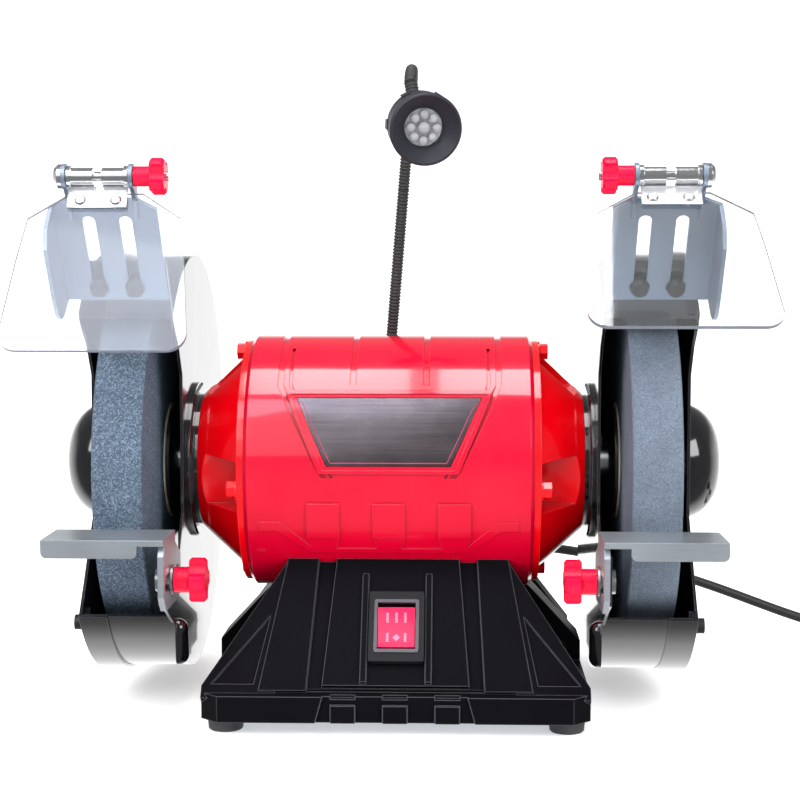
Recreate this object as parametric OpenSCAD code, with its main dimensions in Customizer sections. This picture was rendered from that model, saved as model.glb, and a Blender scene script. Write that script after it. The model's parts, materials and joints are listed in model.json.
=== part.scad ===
// Bench grinder with two wheels, spark guards, eye shields, tool rests and a work lamp.
// X runs along the shaft, Y runs away from the user, Z is up. The bench is at Z = 0.
// The modules are written with the shaft over Y = 0 and the motor's middle at X = 0;
// placed() then brings the middle of the whole footprint to Y = 0.

/* [Motor] */
// Height of the shaft above the bench
axle_h = 130; // [124:1:150]
// Outer radius of the motor barrel
barrel_r = 69; // [66:0.5:74]
// Length of the motor barrel
barrel_len = 152; // [140:1:170]
// Wall of the motor barrel
barrel_wall = 4; // [3:0.5:5]
// Length of each end bell from the barrel to its neck
bell_len = 28; // [24:1:34]
// Radius of the end bell where it leaves the barrel
bell_r = 61; // [58:0.5:62]
// Radius of the neck that carries the guard
neck_r = 36.5; // [32:0.5:38]
// Length of the neck
neck_len = 5.5; // [4:0.5:9]
// Wall between the neck flange and the bearing
bearing_seat_wall = 5; // [4:0.5:7]
// Width of the stator core
stator_w = 84; // [70:1:92]
// Air gap between stator and rotor
air_gap = 0.5; // [0.4:0.1:1]
// Outer radius of the rotor core
rotor_r = 39; // [34:0.5:42]

/* [Shaft and wheels] */
// Radius of a grinding wheel
wheel_r = 100; // [90:1:102]
// Thickness of a grinding wheel
wheel_w = 25.3; // [16:0.1:30]
// Radius of the wheel's bore and of the shaft end
bore_r = 8; // [6.35:0.05:10]
// Radius of the shaft between the bearings
shaft_r = 10; // [10:0.5:11]
// Gap between the guard's inner wall and the wheel
wheel_gap = 13.7; // [13.5:0.1:16.5]
// Radius of a wheel flange
flange_r = 30; // [22:0.5:36]
// Thickness of a wheel flange
flange_w = 3.6; // [3:0.1:4.5]
// Thickness of the paper blotter beside each wheel
blotter_w = 0.8; // [0.5:0.1:1.5]
// Width of the shaft nut across its flats
nut_af = 24; // [22:1:27]
// Thickness of the shaft nut
nut_w = 9; // [7:0.5:10]

/* [Guards] */
// Inner radius of the guard's rim
guard_r = 112; // [110:0.5:116]
// Sheet thickness of guard and cover
sheet = 1.5; // [1.2:0.1:2]
// Width over the guard and its cover
guard_w = 48.5; // [46:0.5:54]
// How far the cover's rim overlaps the guard's rim
cover_lap = 13; // [8:0.5:18]
// Radius of the cover's dome
dome_r = 32; // [28:0.5:38]
// Height of the cover's dome
dome_h = 21; // [19:0.5:25]
// Distance of the guard's side edge in front of the shaft
mouth_y = 50; // [44:1:54]
// Height of the mouth's lower lip below the shaft
lip_drop = 72; // [68:1:76]
// Radius of the screws that hold the cover
cover_screw_r = 2; // [1.5:0.1:2.5]

/* [Spark arrestors and eye shields] */
// Angle of the spark plate's face, measured from the bench at the back
spark_tilt = 126.9; // [124:0.1:130]
// Gap between the wheel and the plate's lower edge as fitted
spark_gap = 26; // [25:0.5:30]
// Width of the spark plate
spark_w = 52.5; // [51:0.5:54]
// Length of the spark plate
spark_len = 61; // [58:0.5:66]
// Sheet thickness of the spark plate
plate_t = 2; // [1.5:0.1:2.5]
// Width of each adjustment slot
slot_w = 6.4; // [6:0.1:7.5]
// Distance between the two slots
slot_gap = 18; // [16:0.5:22]
// Length that the slots let the plate travel
slot_travel = 40; // [30:1:42]
// Depth of the plate's outer side flange
flank_d = 26; // [18:0.5:28]
// Radius of the hinge rod
rod_r = 2.2; // [1.8:0.1:2.6]
// Radius of the holder's rolled sleeves
sleeve_r = 4.1; // [3.6:0.1:5]
// Thickness of the clear eye shield
lens_t = 2; // [1.5:0.1:3]
// Length of the eye shield
lens_len = 92; // [70:1:96]
// Width of the eye shield at its lower edge
lens_w = 87; // [76:1:92]
// Slope of the left eye shield below level
lens_drop_left = 59; // [40:1:60]
// Slope of the right eye shield below level
lens_drop_right = 46; // [30:1:60]
// How far the left eye shield is set in towards the motor
lens_shift_left = 5; // [0:0.5:5]

/* [Tool rests] */
// Width of a tool rest
rest_w = 60; // [54:1:64]
// Depth of a tool rest
rest_d = 36; // [30:1:40]
// Sheet thickness of a tool rest
rest_t = 3; // [2.5:0.1:3.2]
// Height of the rest's face below the shaft
rest_drop = 25; // [22:0.5:28]
// Gap between the wheel and the rest
rest_gap = 3; // [2.5:0.1:5]
// Height of the lip at the front edge
rest_lip = 9; // [6:0.5:11]
// Radius of the rest's clamp bolt
bolt_r = 3; // [2.5:0.1:3.5]
// Distance of the clamp bolt in front of the shaft
bolt_y = 113; // [110:1:116]
// Height of the clamp bolt below the shaft
bolt_drop = 48; // [46:0.5:50]

/* [Base] */
// Width of the base
base_w = 198; // [190:1:210]
// Depth of the base
base_d = 208; // [204:1:220]
// Height of the base's skirt above the feet
skirt_h = 13.5; // [12:0.5:16]
// Height of the rubber feet under the base
foot_h = 7.5; // [6:0.5:9]
// Radius of a rubber foot
foot_r = 9.5; // [8:0.5:11]
// Chamfer on the corners of the base
corner = 9; // [6:0.5:12]
// Sideways offset of the base from the motor's middle
base_shift = 4.5; // [0:0.5:6]
// Width of the pedestal at its top
neck_w = 115; // [110:1:120]
// Width of the pedestal where it meets the skirt
pedestal_w = 140; // [134:1:146]
// Wall of the base casting
base_wall = 3; // [2.5:0.1:3.6]
// Height of the raised panels
panel_h = 3; // [1.5:0.1:3.5]
// Overhang of a rubber foot past the base plate's side
foot_lap = 1.1; // [0:0.1:1.5]
// Distance of the feet's middles from the base's front and back
foot_inset = 18; // [14:0.5:24]
// Radius of the holes for bench bolts
bench_hole_r = 3.3; // [2.5:0.1:4]
// Distance between bench holes from side to side
bench_span_x = 160; // [154:1:162]
// Distance between bench holes from front to back
bench_span_y = 120; // [110:1:130]

/* [Switch] */
// Width of the switch bezel
bezel_w = 28.6; // [27:0.1:29.6]
// Height of the switch bezel
bezel_h = 40; // [36:0.5:42]
// Thickness of the switch bezel
bezel_t = 3.5; // [3:0.1:5]
// Width of the rocker
rocker_w = 19; // [16:0.1:20]
// Height of the rocker
rocker_h = 26; // [22:0.5:27]
// Angle of the rocker in each of its positions
rocker_a = 9; // [6:0.5:11]

/* [Work lamp] */
// Radius of the bendable neck
neck_tube_r = 3.5; // [3:0.1:4.5]
// Distance of the lamp's socket behind the shaft
lamp_y = 50; // [46:1:54]
// Length of the neck's lower part
lamp_low = 92; // [80:1:100]
// Sideways lean of the neck
lamp_lean = 4.6; // [0:0.1:8]
// Radius of the bend at the neck's top
lamp_bend = 20; // [17:0.5:24]
// Radius of the lamp head
head_r = 20; // [17:0.5:23]
// Length of the lamp head
head_len = 22; // [18:0.5:28]

/* [Cord] */
// Radius of the mains cord
cord_r = 3; // [2.7:0.1:3.3]
// Number of turns in the stored coil
coil_turns = 5; // [5:1:6]

/* [Clearances] */
// Gap between pieces that move past each other
play = 0.3; // [0.2:0.05:0.5]
// Radial gap of a running fit
fit = 0.05; // [0.02:0.01:0.1]
// Gap between pieces that are fitted together
seat = 0.1; // [0.05:0.05:0.2]

/* [Hidden] */
$fn = 72;
e = 0.01;
half_barrel = barrel_len / 2;
bell_end = half_barrel + bell_len;
neck_end = bell_end + neck_len;
base_z = foot_h;
skirt_top = foot_h + skirt_h;

// ---------- shared shapes ----------

// Cylinder along X from x0 to x1 about the point (y, z).
module xcyl(r, x0, x1, y = 0, z = 0) {
    translate([x0, y, z]) rotate([0, 90, 0]) cylinder(r = r, h = x1 - x0);
}

// Tube along X from x0 to x1.
module xtube(r_out, r_in, x0, x1, y = 0, z = 0) {
    difference() {
        xcyl(r_out, x0, x1, y, z);
        xcyl(r_in, x0 - 1, x1 + 1, y, z);
    }
}

// Solid of revolution about X; points are [x, radius].
module xturn(points) {
    rotate([90, 0, 90]) rotate_extrude() polygon([for (p = points) [p[1], p[0]]]);
}

// Outline drawn in Y and Z, thickened along X from x0 to x1.
module yz_sheet(points, x0, x1) {
    translate([x0, 0, 0]) rotate([90, 0, 90]) linear_extrude(x1 - x0) polygon(points);
}

// Outline drawn in X and Z, thickened along Y from y0 to y1.
module xz_sheet(points, y0, y1) {
    translate([0, y1, 0]) rotate([90, 0, 0]) linear_extrude(y1 - y0) polygon(points);
}

// Rectangle with round corners, centred.
module round_rect(w, h, r) {
    square([w - 2 * r, h], center = true);
    square([w, h - 2 * r], center = true);
    for (x = [-1, 1], y = [-1, 1]) {
        translate([x * (w / 2 - r), y * (h / 2 - r)]) circle(r);
    }
}

// Slot with round ends from (0, 0) to (0, len).
module slot_shape(len, w) {
    translate([-w / 2, 0]) square([w, len]);
    circle(w / 2);
    translate([0, len]) circle(w / 2);
}

// Brings the footprint's middle to Y = 0.
module placed() { translate([0, home_y, 0]) children(); }

module on_axle() { translate([0, 0, axle_h]) children(); }
module both_sides() { children(); mirror([1, 0, 0]) children(); }

// ---------- motor ----------

stator_r = barrel_r - barrel_wall;
plate_top = 38.5;
plate_low = 4;
plate_top_w = 96;
plate_low_w = 64;
groove_d = 1.2;
relief = 1.4;

// Trapezoid of the nameplate, grown by g on every side.
function plate_shape(g) = [
    [-plate_top_w / 2 - g * 1.6, plate_top + g], [plate_top_w / 2 + g * 1.6, plate_top + g],
    [plate_low_w / 2 + g * 1.1, plate_low - g], [-plate_low_w / 2 - g * 1.1, plate_low - g]];

// Front skin of the barrel between two radii, cut to an outline in X and Z.
module barrel_patch(points, r_in, r_out) {
    intersection() {
        difference() {
            xcyl(r_out, -half_barrel, half_barrel);
            xcyl(r_in, -half_barrel - 1, half_barrel + 1);
        }
        xz_sheet(points, -barrel_r - 5, 0);
    }
}

// Line of the stripe that runs down each side of the nameplate.
stripe_x = 59;
stripe_w = 3.2;
stripe_knee = 45;
module stripe(s, shift, w, r_in, r_out) {
    low = -plate_low_w / 2 - 3.2 - shift * 0.8;
    barrel_patch([for (p = [[-stripe_x + w - shift, stripe_knee + 18],
        [-stripe_x - shift, stripe_knee + 18], [-stripe_x - shift, stripe_knee],
        [low, plate_low - 6.5], [low + w * 1.1, plate_low - 6.5],
        [-stripe_x + w - shift, stripe_knee]]) [s * p[0], p[1]]], r_in, r_out);
}

tooth_w = 17;
tooth_pitch = 34.4;
tooth_top = -16;
tooth_low = -35;
tooth_toe = -41;

module motor_barrel() {
    color("crimson") on_axle() difference() {
        union() {
            xturn([[-half_barrel, stator_r], [-half_barrel, barrel_r - 2],
                [-half_barrel + 2, barrel_r], [half_barrel - 2, barrel_r],
                [half_barrel, barrel_r - 2], [half_barrel, stator_r]]);
            difference() {
                barrel_patch(plate_shape(4), barrel_r - 1, barrel_r + relief);
                barrel_patch(plate_shape(2.2), barrel_r + relief - 0.6, barrel_r + relief + 1);
            }
            for (i = [-1, 0, 1]) tooth(i * tooth_pitch);
            for (s = [-1, 1]) foot_ridge(s);
        }
        barrel_patch(plate_shape(0.3), barrel_r + relief - 1.4, barrel_r + relief + 1);
        for (x = [-stripe_x + stripe_w / 2, -19.3, 19.3, stripe_x - stripe_w / 2]) {
            ring_groove(x);
        }
        for (s = [-1, 1]) {
            stripe(s, 0, stripe_w, barrel_r - groove_d, barrel_r + 0.5);
            stripe(s, -6, stripe_w * 0.55, barrel_r - groove_d, barrel_r + 0.5);
        }
        translate([0, lamp_y, 0]) cylinder(r = 4, h = barrel_r);
        for (x = [-1, 1]) translate([x * saddle_bolt_x, 0, -barrel_r - 1]) cylinder(r = saddle_bolt_r, h = barrel_wall + 3);
    }
}

// Shallow groove round the upper half of the barrel.
module ring_groove(x) {
    intersection() {
        xtube(barrel_r + 1, barrel_r - groove_d, x - stripe_w / 2, x + stripe_w / 2);
        translate([-barrel_len, -barrel_r - 2, stripe_knee]) cube([2 * barrel_len, 2 * barrel_r, barrel_r]);
    }
}

// Raised block on the barrel's lower front, with a sloping toe.
module tooth(x) {
    w = tooth_w / 2;
    barrel_patch([[x - w, tooth_top], [x + w, tooth_top], [x + w, tooth_low], [x - w, tooth_low]],
        barrel_r - 1, barrel_r + relief);
    barrel_patch([[x - w, tooth_low + e], [x + w, tooth_low + e], [x + w - 2, tooth_toe],
        [x - w + 2, tooth_toe]], barrel_r - 1, barrel_r + relief / 2);
}

// Slanted ridge at each end of the row of blocks.
module foot_ridge(s) {
    barrel_patch([for (p = [[-68, -26], [-57, -26], [-40, -41], [0, -41], [0, -43.5], [-42, -43.5],
        [-59, -31], [-68, -31]]) [s * p[0], p[1]]], barrel_r - 1, barrel_r + 0.6);
}

module nameplate() {
    color("black") on_axle()
        barrel_patch(plate_shape(0), barrel_r + relief - 1.4 + e, barrel_r + relief - 0.2);
}

pocket_w = 27;
pocket_floor = 40;
bell_bolt_r = 61.5;
bell_bolts = [-9, 81, 171, 261];
flange_t = 3.5;
bearing_r = 17.5;
bearing_w = 11;
bearing_x = bell_end - bearing_w - bearing_seat_wall;
mount_r = 26;
mount_screw_r = 2.5;

// End bell: a cone with four bolt pockets, a bearing seat and the guard's neck.
module end_bell() {
    color("red") on_axle() difference() {
        xturn([[half_barrel - 6, 34], [half_barrel - 6, stator_r - seat], [half_barrel, stator_r - seat],
            [half_barrel, barrel_r - 2.5], [half_barrel + flange_t, barrel_r - 2.5],
            [half_barrel + flange_t, bell_r - 1], [bell_end, neck_r + 1], [bell_end, neck_r],
            [neck_end - 3, neck_r], [neck_end - 3, neck_r + 5.5], [neck_end - 2, neck_r + 6.5],
            [neck_end, neck_r + 6.5], [neck_end, shaft_r + 2], [bearing_x + bearing_w, shaft_r + 2],
            [bearing_x + bearing_w, bearing_r], [bearing_x, bearing_r], [bearing_x, 34]]);
        for (a = bell_bolts) rotate([-a, 0, 0]) {
            translate([half_barrel + flange_t, -barrel_r - 1, -pocket_w / 2])
                cube([bell_len, barrel_r + 1 - pocket_floor, pocket_w]);
            xcyl(2.5, half_barrel - 10, bell_end, -bell_bolt_r, 0);
        }
        for (a = [30, 150, 270]) rotate([a, 0, 0])
            xcyl(mount_screw_r, neck_end - 9, neck_end + 1, mount_r, 0);
    }
}

module end_bell_left() { mirror([1, 0, 0]) end_bell(); }
module end_bell_right() { end_bell(); }

module hex_head(r, x0, x1, y, z) {
    translate([x0, y, z]) rotate([0, 90, 0]) cylinder(r = r, h = x1 - x0, $fn = 6);
}

module bell_screws() {
    color("crimson") both_sides() on_axle() for (a = bell_bolts) rotate([-a, 0, 0]) {
        xcyl(5.5, half_barrel + flange_t, half_barrel + flange_t + 1, -bell_bolt_r, 0);
        hex_head(4.6, half_barrel + flange_t + 0.9, half_barrel + flange_t + 5.5, -bell_bolt_r, 0);
        xcyl(2.5, half_barrel - 9, half_barrel + flange_t + 1, -bell_bolt_r, 0);
    }
}

module stator_core() {
    color("silver") on_axle() difference() {
        xcyl(stator_r, -stator_w / 2, stator_w / 2);
        xcyl(rotor_r + air_gap, -stator_w, stator_w);
        for (i = [0:11]) rotate([i * 30, 0, 0]) translate([-stator_w, rotor_r - 2, -2])
            cube([2 * stator_w, 12, 4]);
    }
}

winding_len = 20;
module stator_windings() {
    x0 = stator_w / 2;
    color("peru") both_sides() on_axle() xturn([[x0, rotor_r + 5], [x0, stator_r - 8],
        [x0 + winding_len - 4, stator_r - 8], [x0 + winding_len, stator_r - 12],
        [x0 + winding_len, rotor_r + 9], [x0 + winding_len - 4, rotor_r + 5]]);
}

seat_r = 7.5;
module ball_bearings() {
    color("lightgray") both_sides() on_axle() xturn([[bearing_x, seat_r + fit], [bearing_x, bearing_r],
        [bearing_x + bearing_w, bearing_r], [bearing_x + bearing_w, seat_r + fit]]);
}

// ---------- rotor ----------

wheel_x = neck_end + wheel_gap;
flange_x = wheel_x - blotter_w - flange_w;
wheel_out = wheel_x + wheel_w;
nut_x = wheel_out + blotter_w + flange_w;
shaft_end = nut_x + nut_w + 3;

module shaft() {
    color("silver") on_axle() xturn(concat(
        [[-shaft_end, 0], [-shaft_end, bore_r - 1], [-shaft_end + 1, bore_r], [-flange_x, bore_r],
        [-flange_x, shaft_r], [-bearing_x - bearing_w - 1, shaft_r], [-bearing_x - bearing_w - 1, seat_r],
        [-bearing_x, seat_r], [-bearing_x, shaft_r]],
        [[bearing_x, shaft_r], [bearing_x, seat_r], [bearing_x + bearing_w + 1, seat_r],
        [bearing_x + bearing_w + 1, shaft_r], [flange_x, shaft_r], [flange_x, bore_r],
        [shaft_end - 1, bore_r], [shaft_end, bore_r - 1], [shaft_end, 0]]));
}

module rotor_core() {
    color("gray") on_axle() {
        xtube(rotor_r, shaft_r, -stator_w / 2, stator_w / 2);
        both_sides() xtube(rotor_r - 3, rotor_r - 13, stator_w / 2, stator_w / 2 + 8);
    }
}

module wheel() {
    on_axle() xturn([[wheel_x, bore_r + fit], [wheel_x, wheel_r - 0.8], [wheel_x + 0.8, wheel_r],
        [wheel_out - 0.8, wheel_r], [wheel_out, wheel_r - 0.8], [wheel_out, bore_r + fit]]);
}
module wheel_left() { color("slategray") mirror([1, 0, 0]) wheel(); }
module wheel_right() { color("lightslategray") wheel(); }

// Dished clamping flange; dir is 1 when its rim faces outwards.
module wheel_flange(x, dir) {
    face = x + (dir > 0 ? flange_w : 0);
    back = x + (dir > 0 ? 0 : flange_w);
    xturn([[back, bore_r + fit], [back, flange_r - 8], [face - dir * 1.8, flange_r - 2],
        [face - dir * 1.8, flange_r], [face, flange_r], [face, bore_r + fit]]);
}

module wheel_flanges() {
    color("dimgray") both_sides() on_axle() {
        wheel_flange(flange_x, 1);
        wheel_flange(wheel_out + blotter_w, -1);
    }
}

module wheel_blotters() {
    color("wheat") both_sides() on_axle() {
        xtube(flange_r + 2, bore_r + 0.5, wheel_x - blotter_w, wheel_x);
        xtube(flange_r + 2, bore_r + 0.5, wheel_out, wheel_out + blotter_w);
    }
}

module shaft_nuts() {
    color("silver") both_sides() on_axle() difference() {
        hex_head(nut_af / 2 / cos(30), nut_x, nut_x + nut_w, 0, 0);
        xcyl(bore_r + fit, nut_x - 1, nut_x + nut_w + 1);
    }
}

// ---------- wheel guards ----------

guard_x = neck_end;
guard_out = guard_x + guard_w;
rim_r = guard_r + sheet;
cover_r = rim_r + seat + sheet;
lip_y = -sqrt(rim_r * rim_r - lip_drop * lip_drop);

// Spark plate frame: y runs outwards along the plate, z faces the user.
spark_foot = wheel_r + spark_gap;
foot_a = 133.7;
module spark_frame() {
    translate([0, spark_foot * cos(foot_a), axle_h + spark_foot * sin(foot_a)])
        rotate([spark_tilt, 0, 0]) children();
}
tab_low = guard_r + sheet / 3 - spark_foot;
tab_high = 22;
plate_in = guard_x + 0.5;
plate_out = plate_in + spark_w;
spark_mid = plate_in + 25;

// The mouth: what both side walls leave open in front of the wheel.
mouth = [[-cover_r - 40, 140], [-78, 78], [-62, 66], [-mouth_y, 50], [-mouth_y, -24],
    [lip_y + 12, -56], [lip_y - 2, -lip_drop], [-cover_r - 40, -lip_drop]];
// The rim also stays clear above the mouth, up to the spark plate's tab.
rim_mouth = [[-cover_r - 40, 140], [spark_foot * cos(foot_a) + 8, 78], [0, 0],
    [lip_y, -lip_drop], [-cover_r - 40, -lip_drop]];

lug_angles = [226.5, 340, 100];
lug_r = 107;

module screw_lug(a) {
    rotate([a, 0, 0]) translate([guard_out - sheet - 1.6, lug_r - 5, -6]) cube([1.6, guard_r - lug_r + 5.5, 12]);
}

// Ear of the inner wall that carries the tool rest's bolt.
ear = [[-70, -30], [-bolt_y - 12, -bolt_drop + 14], [-bolt_y - 12, -bolt_drop - 10],
    [-bolt_y + 4, -bolt_drop - 16], [lip_y + 1.5, -lip_drop - 3], [-70, -lip_drop - 3]];

module guard() {
    color("black") {
        on_axle() difference() {
            union() {
                difference() {
                    xcyl(rim_r, guard_x, guard_x + sheet);
                    yz_sheet(mouth, guard_x - 1, guard_x + 3);
                }
                yz_sheet(ear, guard_x, guard_x + sheet);
                difference() {
                    xtube(rim_r, guard_r, guard_x, guard_out - sheet);
                    yz_sheet(rim_mouth, guard_x - 1, guard_out);
                }
                for (a = lug_angles) screw_lug(a);
                // pressed bead near the lower edge
                bead();
            }
            xcyl(shaft_r + 3, guard_x - 5, guard_x + 5);
            spark_way(play, guard_out);
            for (a = [30, 150, 270]) rotate([a, 0, 0])
                xcyl(mount_screw_r, guard_x - 1, guard_x + 3, mount_r, 0);
            xcyl(bolt_r + fit, guard_x - 1, guard_x + 5, -bolt_y, -bolt_drop);
            for (a = lug_angles) rotate([a, 0, 0])
                xcyl(cover_screw_r, guard_out - 9, guard_out, lug_r, 0);
        }
        spark_frame() spark_tab();
    }
}

// Way of the spark plate past walls that end at x1; it starts deep behind the plate's back.
module spark_way(deep, x1) {
    translate([0, spark_foot * cos(foot_a), spark_foot * sin(foot_a)]) rotate([spark_tilt, 0, 0])
        translate([guard_x - 1, -spark_gap - 1, -deep]) cube([x1 - guard_x + 1, 60, 60]);
}

// Rounded bead pressed out of the inner wall towards the motor.
bead_r = 5.5;
bead_half = 7;
bead_at = [-72, -88];
module bead() {
    intersection() {
        translate([guard_x, bead_at[0], bead_at[1]]) rotate([8, 0, 0]) union() {
            for (z = [-bead_half, bead_half]) translate([0, 0, z]) sphere(bead_r);
            translate([0, 0, -bead_half]) cylinder(r = bead_r - 0.1, h = 2 * bead_half);
        }
        translate([guard_x - bead_r - 1, bead_at[0] - 2 * bead_half, bead_at[1] - 3 * bead_half])
            cube([bead_r + 1 + sheet / 2, 4 * bead_half, 6 * bead_half]);
    }
}

// The guard's front tab, bent outwards, that the spark plate is screwed to.
module spark_tab() {
    difference() {
        translate([guard_x, tab_low, -play - sheet])
            cube([guard_w - cover_lap + 8, tab_high - tab_low, sheet]);
        for (x = [-1, 1]) translate([spark_mid + x * slot_gap / 2, slot_start, -5])
            cylinder(r = spark_screw_r, h = 10);
    }
}

module guard_left() { mirror([1, 0, 0]) guard(); }
module guard_right() { guard(); }

// Outline of the cover's dome, from its foot to its flat nose.
function dome_line(r, h, x0) = [for (i = [0:8]) let (a = i * 10)
    [x0 + h * sin(a) / sin(80), r * (0.42 + 0.58 * (cos(a) - cos(80)) / (1 - cos(80)))]];

module guard_cover() {
    color("black") on_axle() difference() {
        union() {
            xcyl(cover_r, guard_out - sheet, guard_out);
            xtube(cover_r, rim_r + seat, guard_out - sheet - cover_lap, guard_out);
            xturn(concat([[guard_out - sheet, 0], [guard_out - sheet, dome_r]],
                dome_line(dome_r, dome_h, guard_out), [[guard_out + dome_h, 0]]));
        }
        xturn(concat([[guard_out - sheet - 1, 0], [guard_out - sheet - 1, dome_r - sheet]],
            dome_line(dome_r - sheet, dome_h - sheet, guard_out), [[guard_out + dome_h - sheet, 0]]));
        yz_sheet(mouth, guard_out - 30, guard_out + 2);
        spark_way(play, guard_out + 1);
        spark_way(2 * play + sheet, guard_out - sheet);
        for (a = lug_angles) rotate([a, 0, 0])
            xcyl(cover_screw_r, guard_out - 9, guard_out + 1, lug_r, 0);
    }
}
module guard_cover_left() { mirror([1, 0, 0]) guard_cover(); }
module guard_cover_right() { guard_cover(); }

module guard_cover_screws() {
    color("black") both_sides() on_axle() for (a = lug_angles) rotate([a, 0, 0]) {
        xcyl(4, guard_out, guard_out + 5, lug_r, 0);
        xcyl(cover_screw_r, guard_out - 8, guard_out + 1, lug_r, 0);
    }
}

module guard_mount_screws() {
    color("dimgray") both_sides() on_axle() for (a = [30, 150, 270]) rotate([a, 0, 0]) {
        xcyl(4.5, guard_x + sheet, guard_x + sheet + 3, mount_r, 0);
        xcyl(mount_screw_r, guard_x - 8, guard_x + sheet + 1, mount_r, 0);
    }
}

// ---------- spark arrestors and eye shields ----------

slot_start = 8;
spark_screw_r = 2.9;
rod_y = 75;
rod_z = 2;
rod_front = -spark_foot * cos(foot_a) - rod_y * cos(spark_tilt) + rod_z * sin(spark_tilt);
reach_front = rod_front + lens_len * cos(lens_drop_right) - sleeve_r * sin(lens_drop_right);
home_y = round(reach_front - cover_r) / 2;
ear_in = plate_in + 9;
ear_out = ear_in + 34;
ear_t = 2;
ear_r = 6;

module spark_plate() {
    color("lightsteelblue") spark_frame() difference() {
        union() {
            linear_extrude(plate_t) polygon([[plate_in, 0], [plate_out, 0],
                [plate_out, spark_len - 4], [ear_out, spark_len], [ear_in, spark_len],
                [plate_in, spark_len - 6]]);
            translate([plate_out - plate_t, 0, 0]) rotate([90, 0, 90]) linear_extrude(plate_t)
                polygon([[0, 0], [0, flank_d * 0.6], [3, flank_d - 4], [8, flank_d - 1],
                [20, flank_d], [spark_len - 13, flank_d - 1], [spark_len - 6, flank_d * 0.7],
                [spark_len - 4, flank_d * 0.3], [spark_len - 4, 0]]);
            for (x = [ear_in, ear_out - ear_t]) rod_ear(x);
        }
        for (x = [-1, 1]) translate([spark_mid + x * slot_gap / 2, slot_start, -1])
            linear_extrude(plate_t + 2) slot_shape(slot_travel, slot_w);
        xcyl(rod_r, ear_in - 1, ear_out + 1, rod_y, rod_z);
    }
}

// Ear at the head of the spark plate that carries the hinge rod.
module rod_ear(x) {
    xcyl(ear_r, x, x + ear_t, rod_y, rod_z);
    yz_sheet([[spark_len - 12, 0], [spark_len - 10, 5], [spark_len, plate_t + 1.2], [rod_y - 5, rod_z + 3],
        [rod_y, rod_z - ear_r], [spark_len - 6, 0]], x, x + ear_t);
}

module spark_plate_left() { mirror([1, 0, 0]) spark_plate(); }
module spark_plate_right() { spark_plate(); }

module spark_screws() {
    color("black") both_sides() spark_frame() for (x = [-1, 1])
        translate([spark_mid + x * slot_gap / 2, slot_start, 0]) {
            translate([0, 0, -play - sheet - 4]) cylinder(r = spark_screw_r, h = 6 + plate_t + play * 2 + sheet);
            translate([0, 0, plate_t + play]) cylinder(r1 = 5, r2 = 4, h = 3.2);
            translate([0, 0, -play - sheet - 3.6]) cylinder(r = 5, h = 3.6, $fn = 6);
        }
}

knob_rod = 17;
module shield_rod() {
    color("silver") spark_frame() {
        xcyl(rod_r, ear_in - knob_rod, ear_out + 1, rod_y, rod_z);
        translate([0, rod_y, rod_z]) xturn([[ear_out, 0], [ear_out, 5.8], [ear_out + 2, 5.8],
            [ear_out + 3.6, 4.4], [ear_out + 4.2, 0]]);
    }
}
module shield_rod_left() { mirror([1, 0, 0]) shield_rod(); }
module shield_rod_right() { shield_rod(); }

// Shield frame: origin on the rod, y runs down the shield, z faces the work below it.
module shield_frame(drop) {
    spark_frame() translate([0, rod_y, rod_z]) rotate([180 + drop - spark_tilt, 0, 0]) children();
}

sleeve_gap = 4.3;
rivet_x = [spark_mid - 8, spark_mid + 9];
rivet_y = 11.5;
rivet_r = 1.6;
holder_in = ear_in + ear_t + play;
holder_out = ear_out - ear_t - play;
holder_t = 1.2;
holder_z = sleeve_r - holder_t;
lens_z = sleeve_r;
lap = 15;

// Bright sheet holder, rolled round the rod in two sleeves.
module shield_holder(drop) {
    mid = (holder_in + holder_out) / 2;
    color("gainsboro") shield_frame(drop) difference() {
        union() {
            xcyl(sleeve_r, holder_in, mid - sleeve_gap / 2);
            xcyl(sleeve_r, mid + sleeve_gap / 2, holder_out);
            for (x = [holder_in, holder_out - 2]) xcyl(sleeve_r + 0.9, x, x + 2);
            translate([holder_in + 0.5, 0, holder_z]) cube([holder_out - holder_in - 1, lap, holder_t]);
        }
        xcyl(rod_r + fit, holder_in - 1, holder_out + 1);
        translate([mid - sleeve_gap / 2, -sleeve_r - 1, -sleeve_r - 1])
            cube([sleeve_gap, sleeve_r + 5, 2 * sleeve_r + 2]);
        for (x = rivet_x) translate([x, rivet_y, holder_z - 1]) cylinder(r = rivet_r, h = holder_t + 2);
    }
}

module shield_holder_left() { mirror([1, 0, 0]) shield_holder(lens_drop_left); }
module shield_holder_right() { shield_holder(lens_drop_right); }

// Clear shield with cut shoulders and round lower corners, riveted under the holder.
lens_mid = spark_mid + 2;
lens_r = 9;
lens_gap = 7;
lens_top = 17.5;
module eye_shield(drop, shift) {
    low = lens_w / 2;
    neck = low - 7;
    waist = low - 4;
    shoulder = lens_gap + 14;
    color([0.85, 0.92, 1, 0.35]) shield_frame(drop) translate([0, 0, lens_z]) linear_extrude(lens_t)
        difference() {
            translate([lens_mid - shift, 0]) union() {
                polygon([[-lens_top, lens_gap], [lens_top, lens_gap], [neck, shoulder], [waist, shoulder + 22],
                    [low, lens_len - lens_r], [low - lens_r, lens_len],
                    [-low + lens_r, lens_len], [-low, lens_len - lens_r],
                    [-waist, shoulder + 22], [-neck, shoulder]]);
                for (s = [-1, 1]) translate([s * (low - lens_r), lens_len - lens_r]) circle(lens_r);
            }
            for (x = rivet_x) translate([x, rivet_y]) circle(rivet_r);
        }
}

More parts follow.
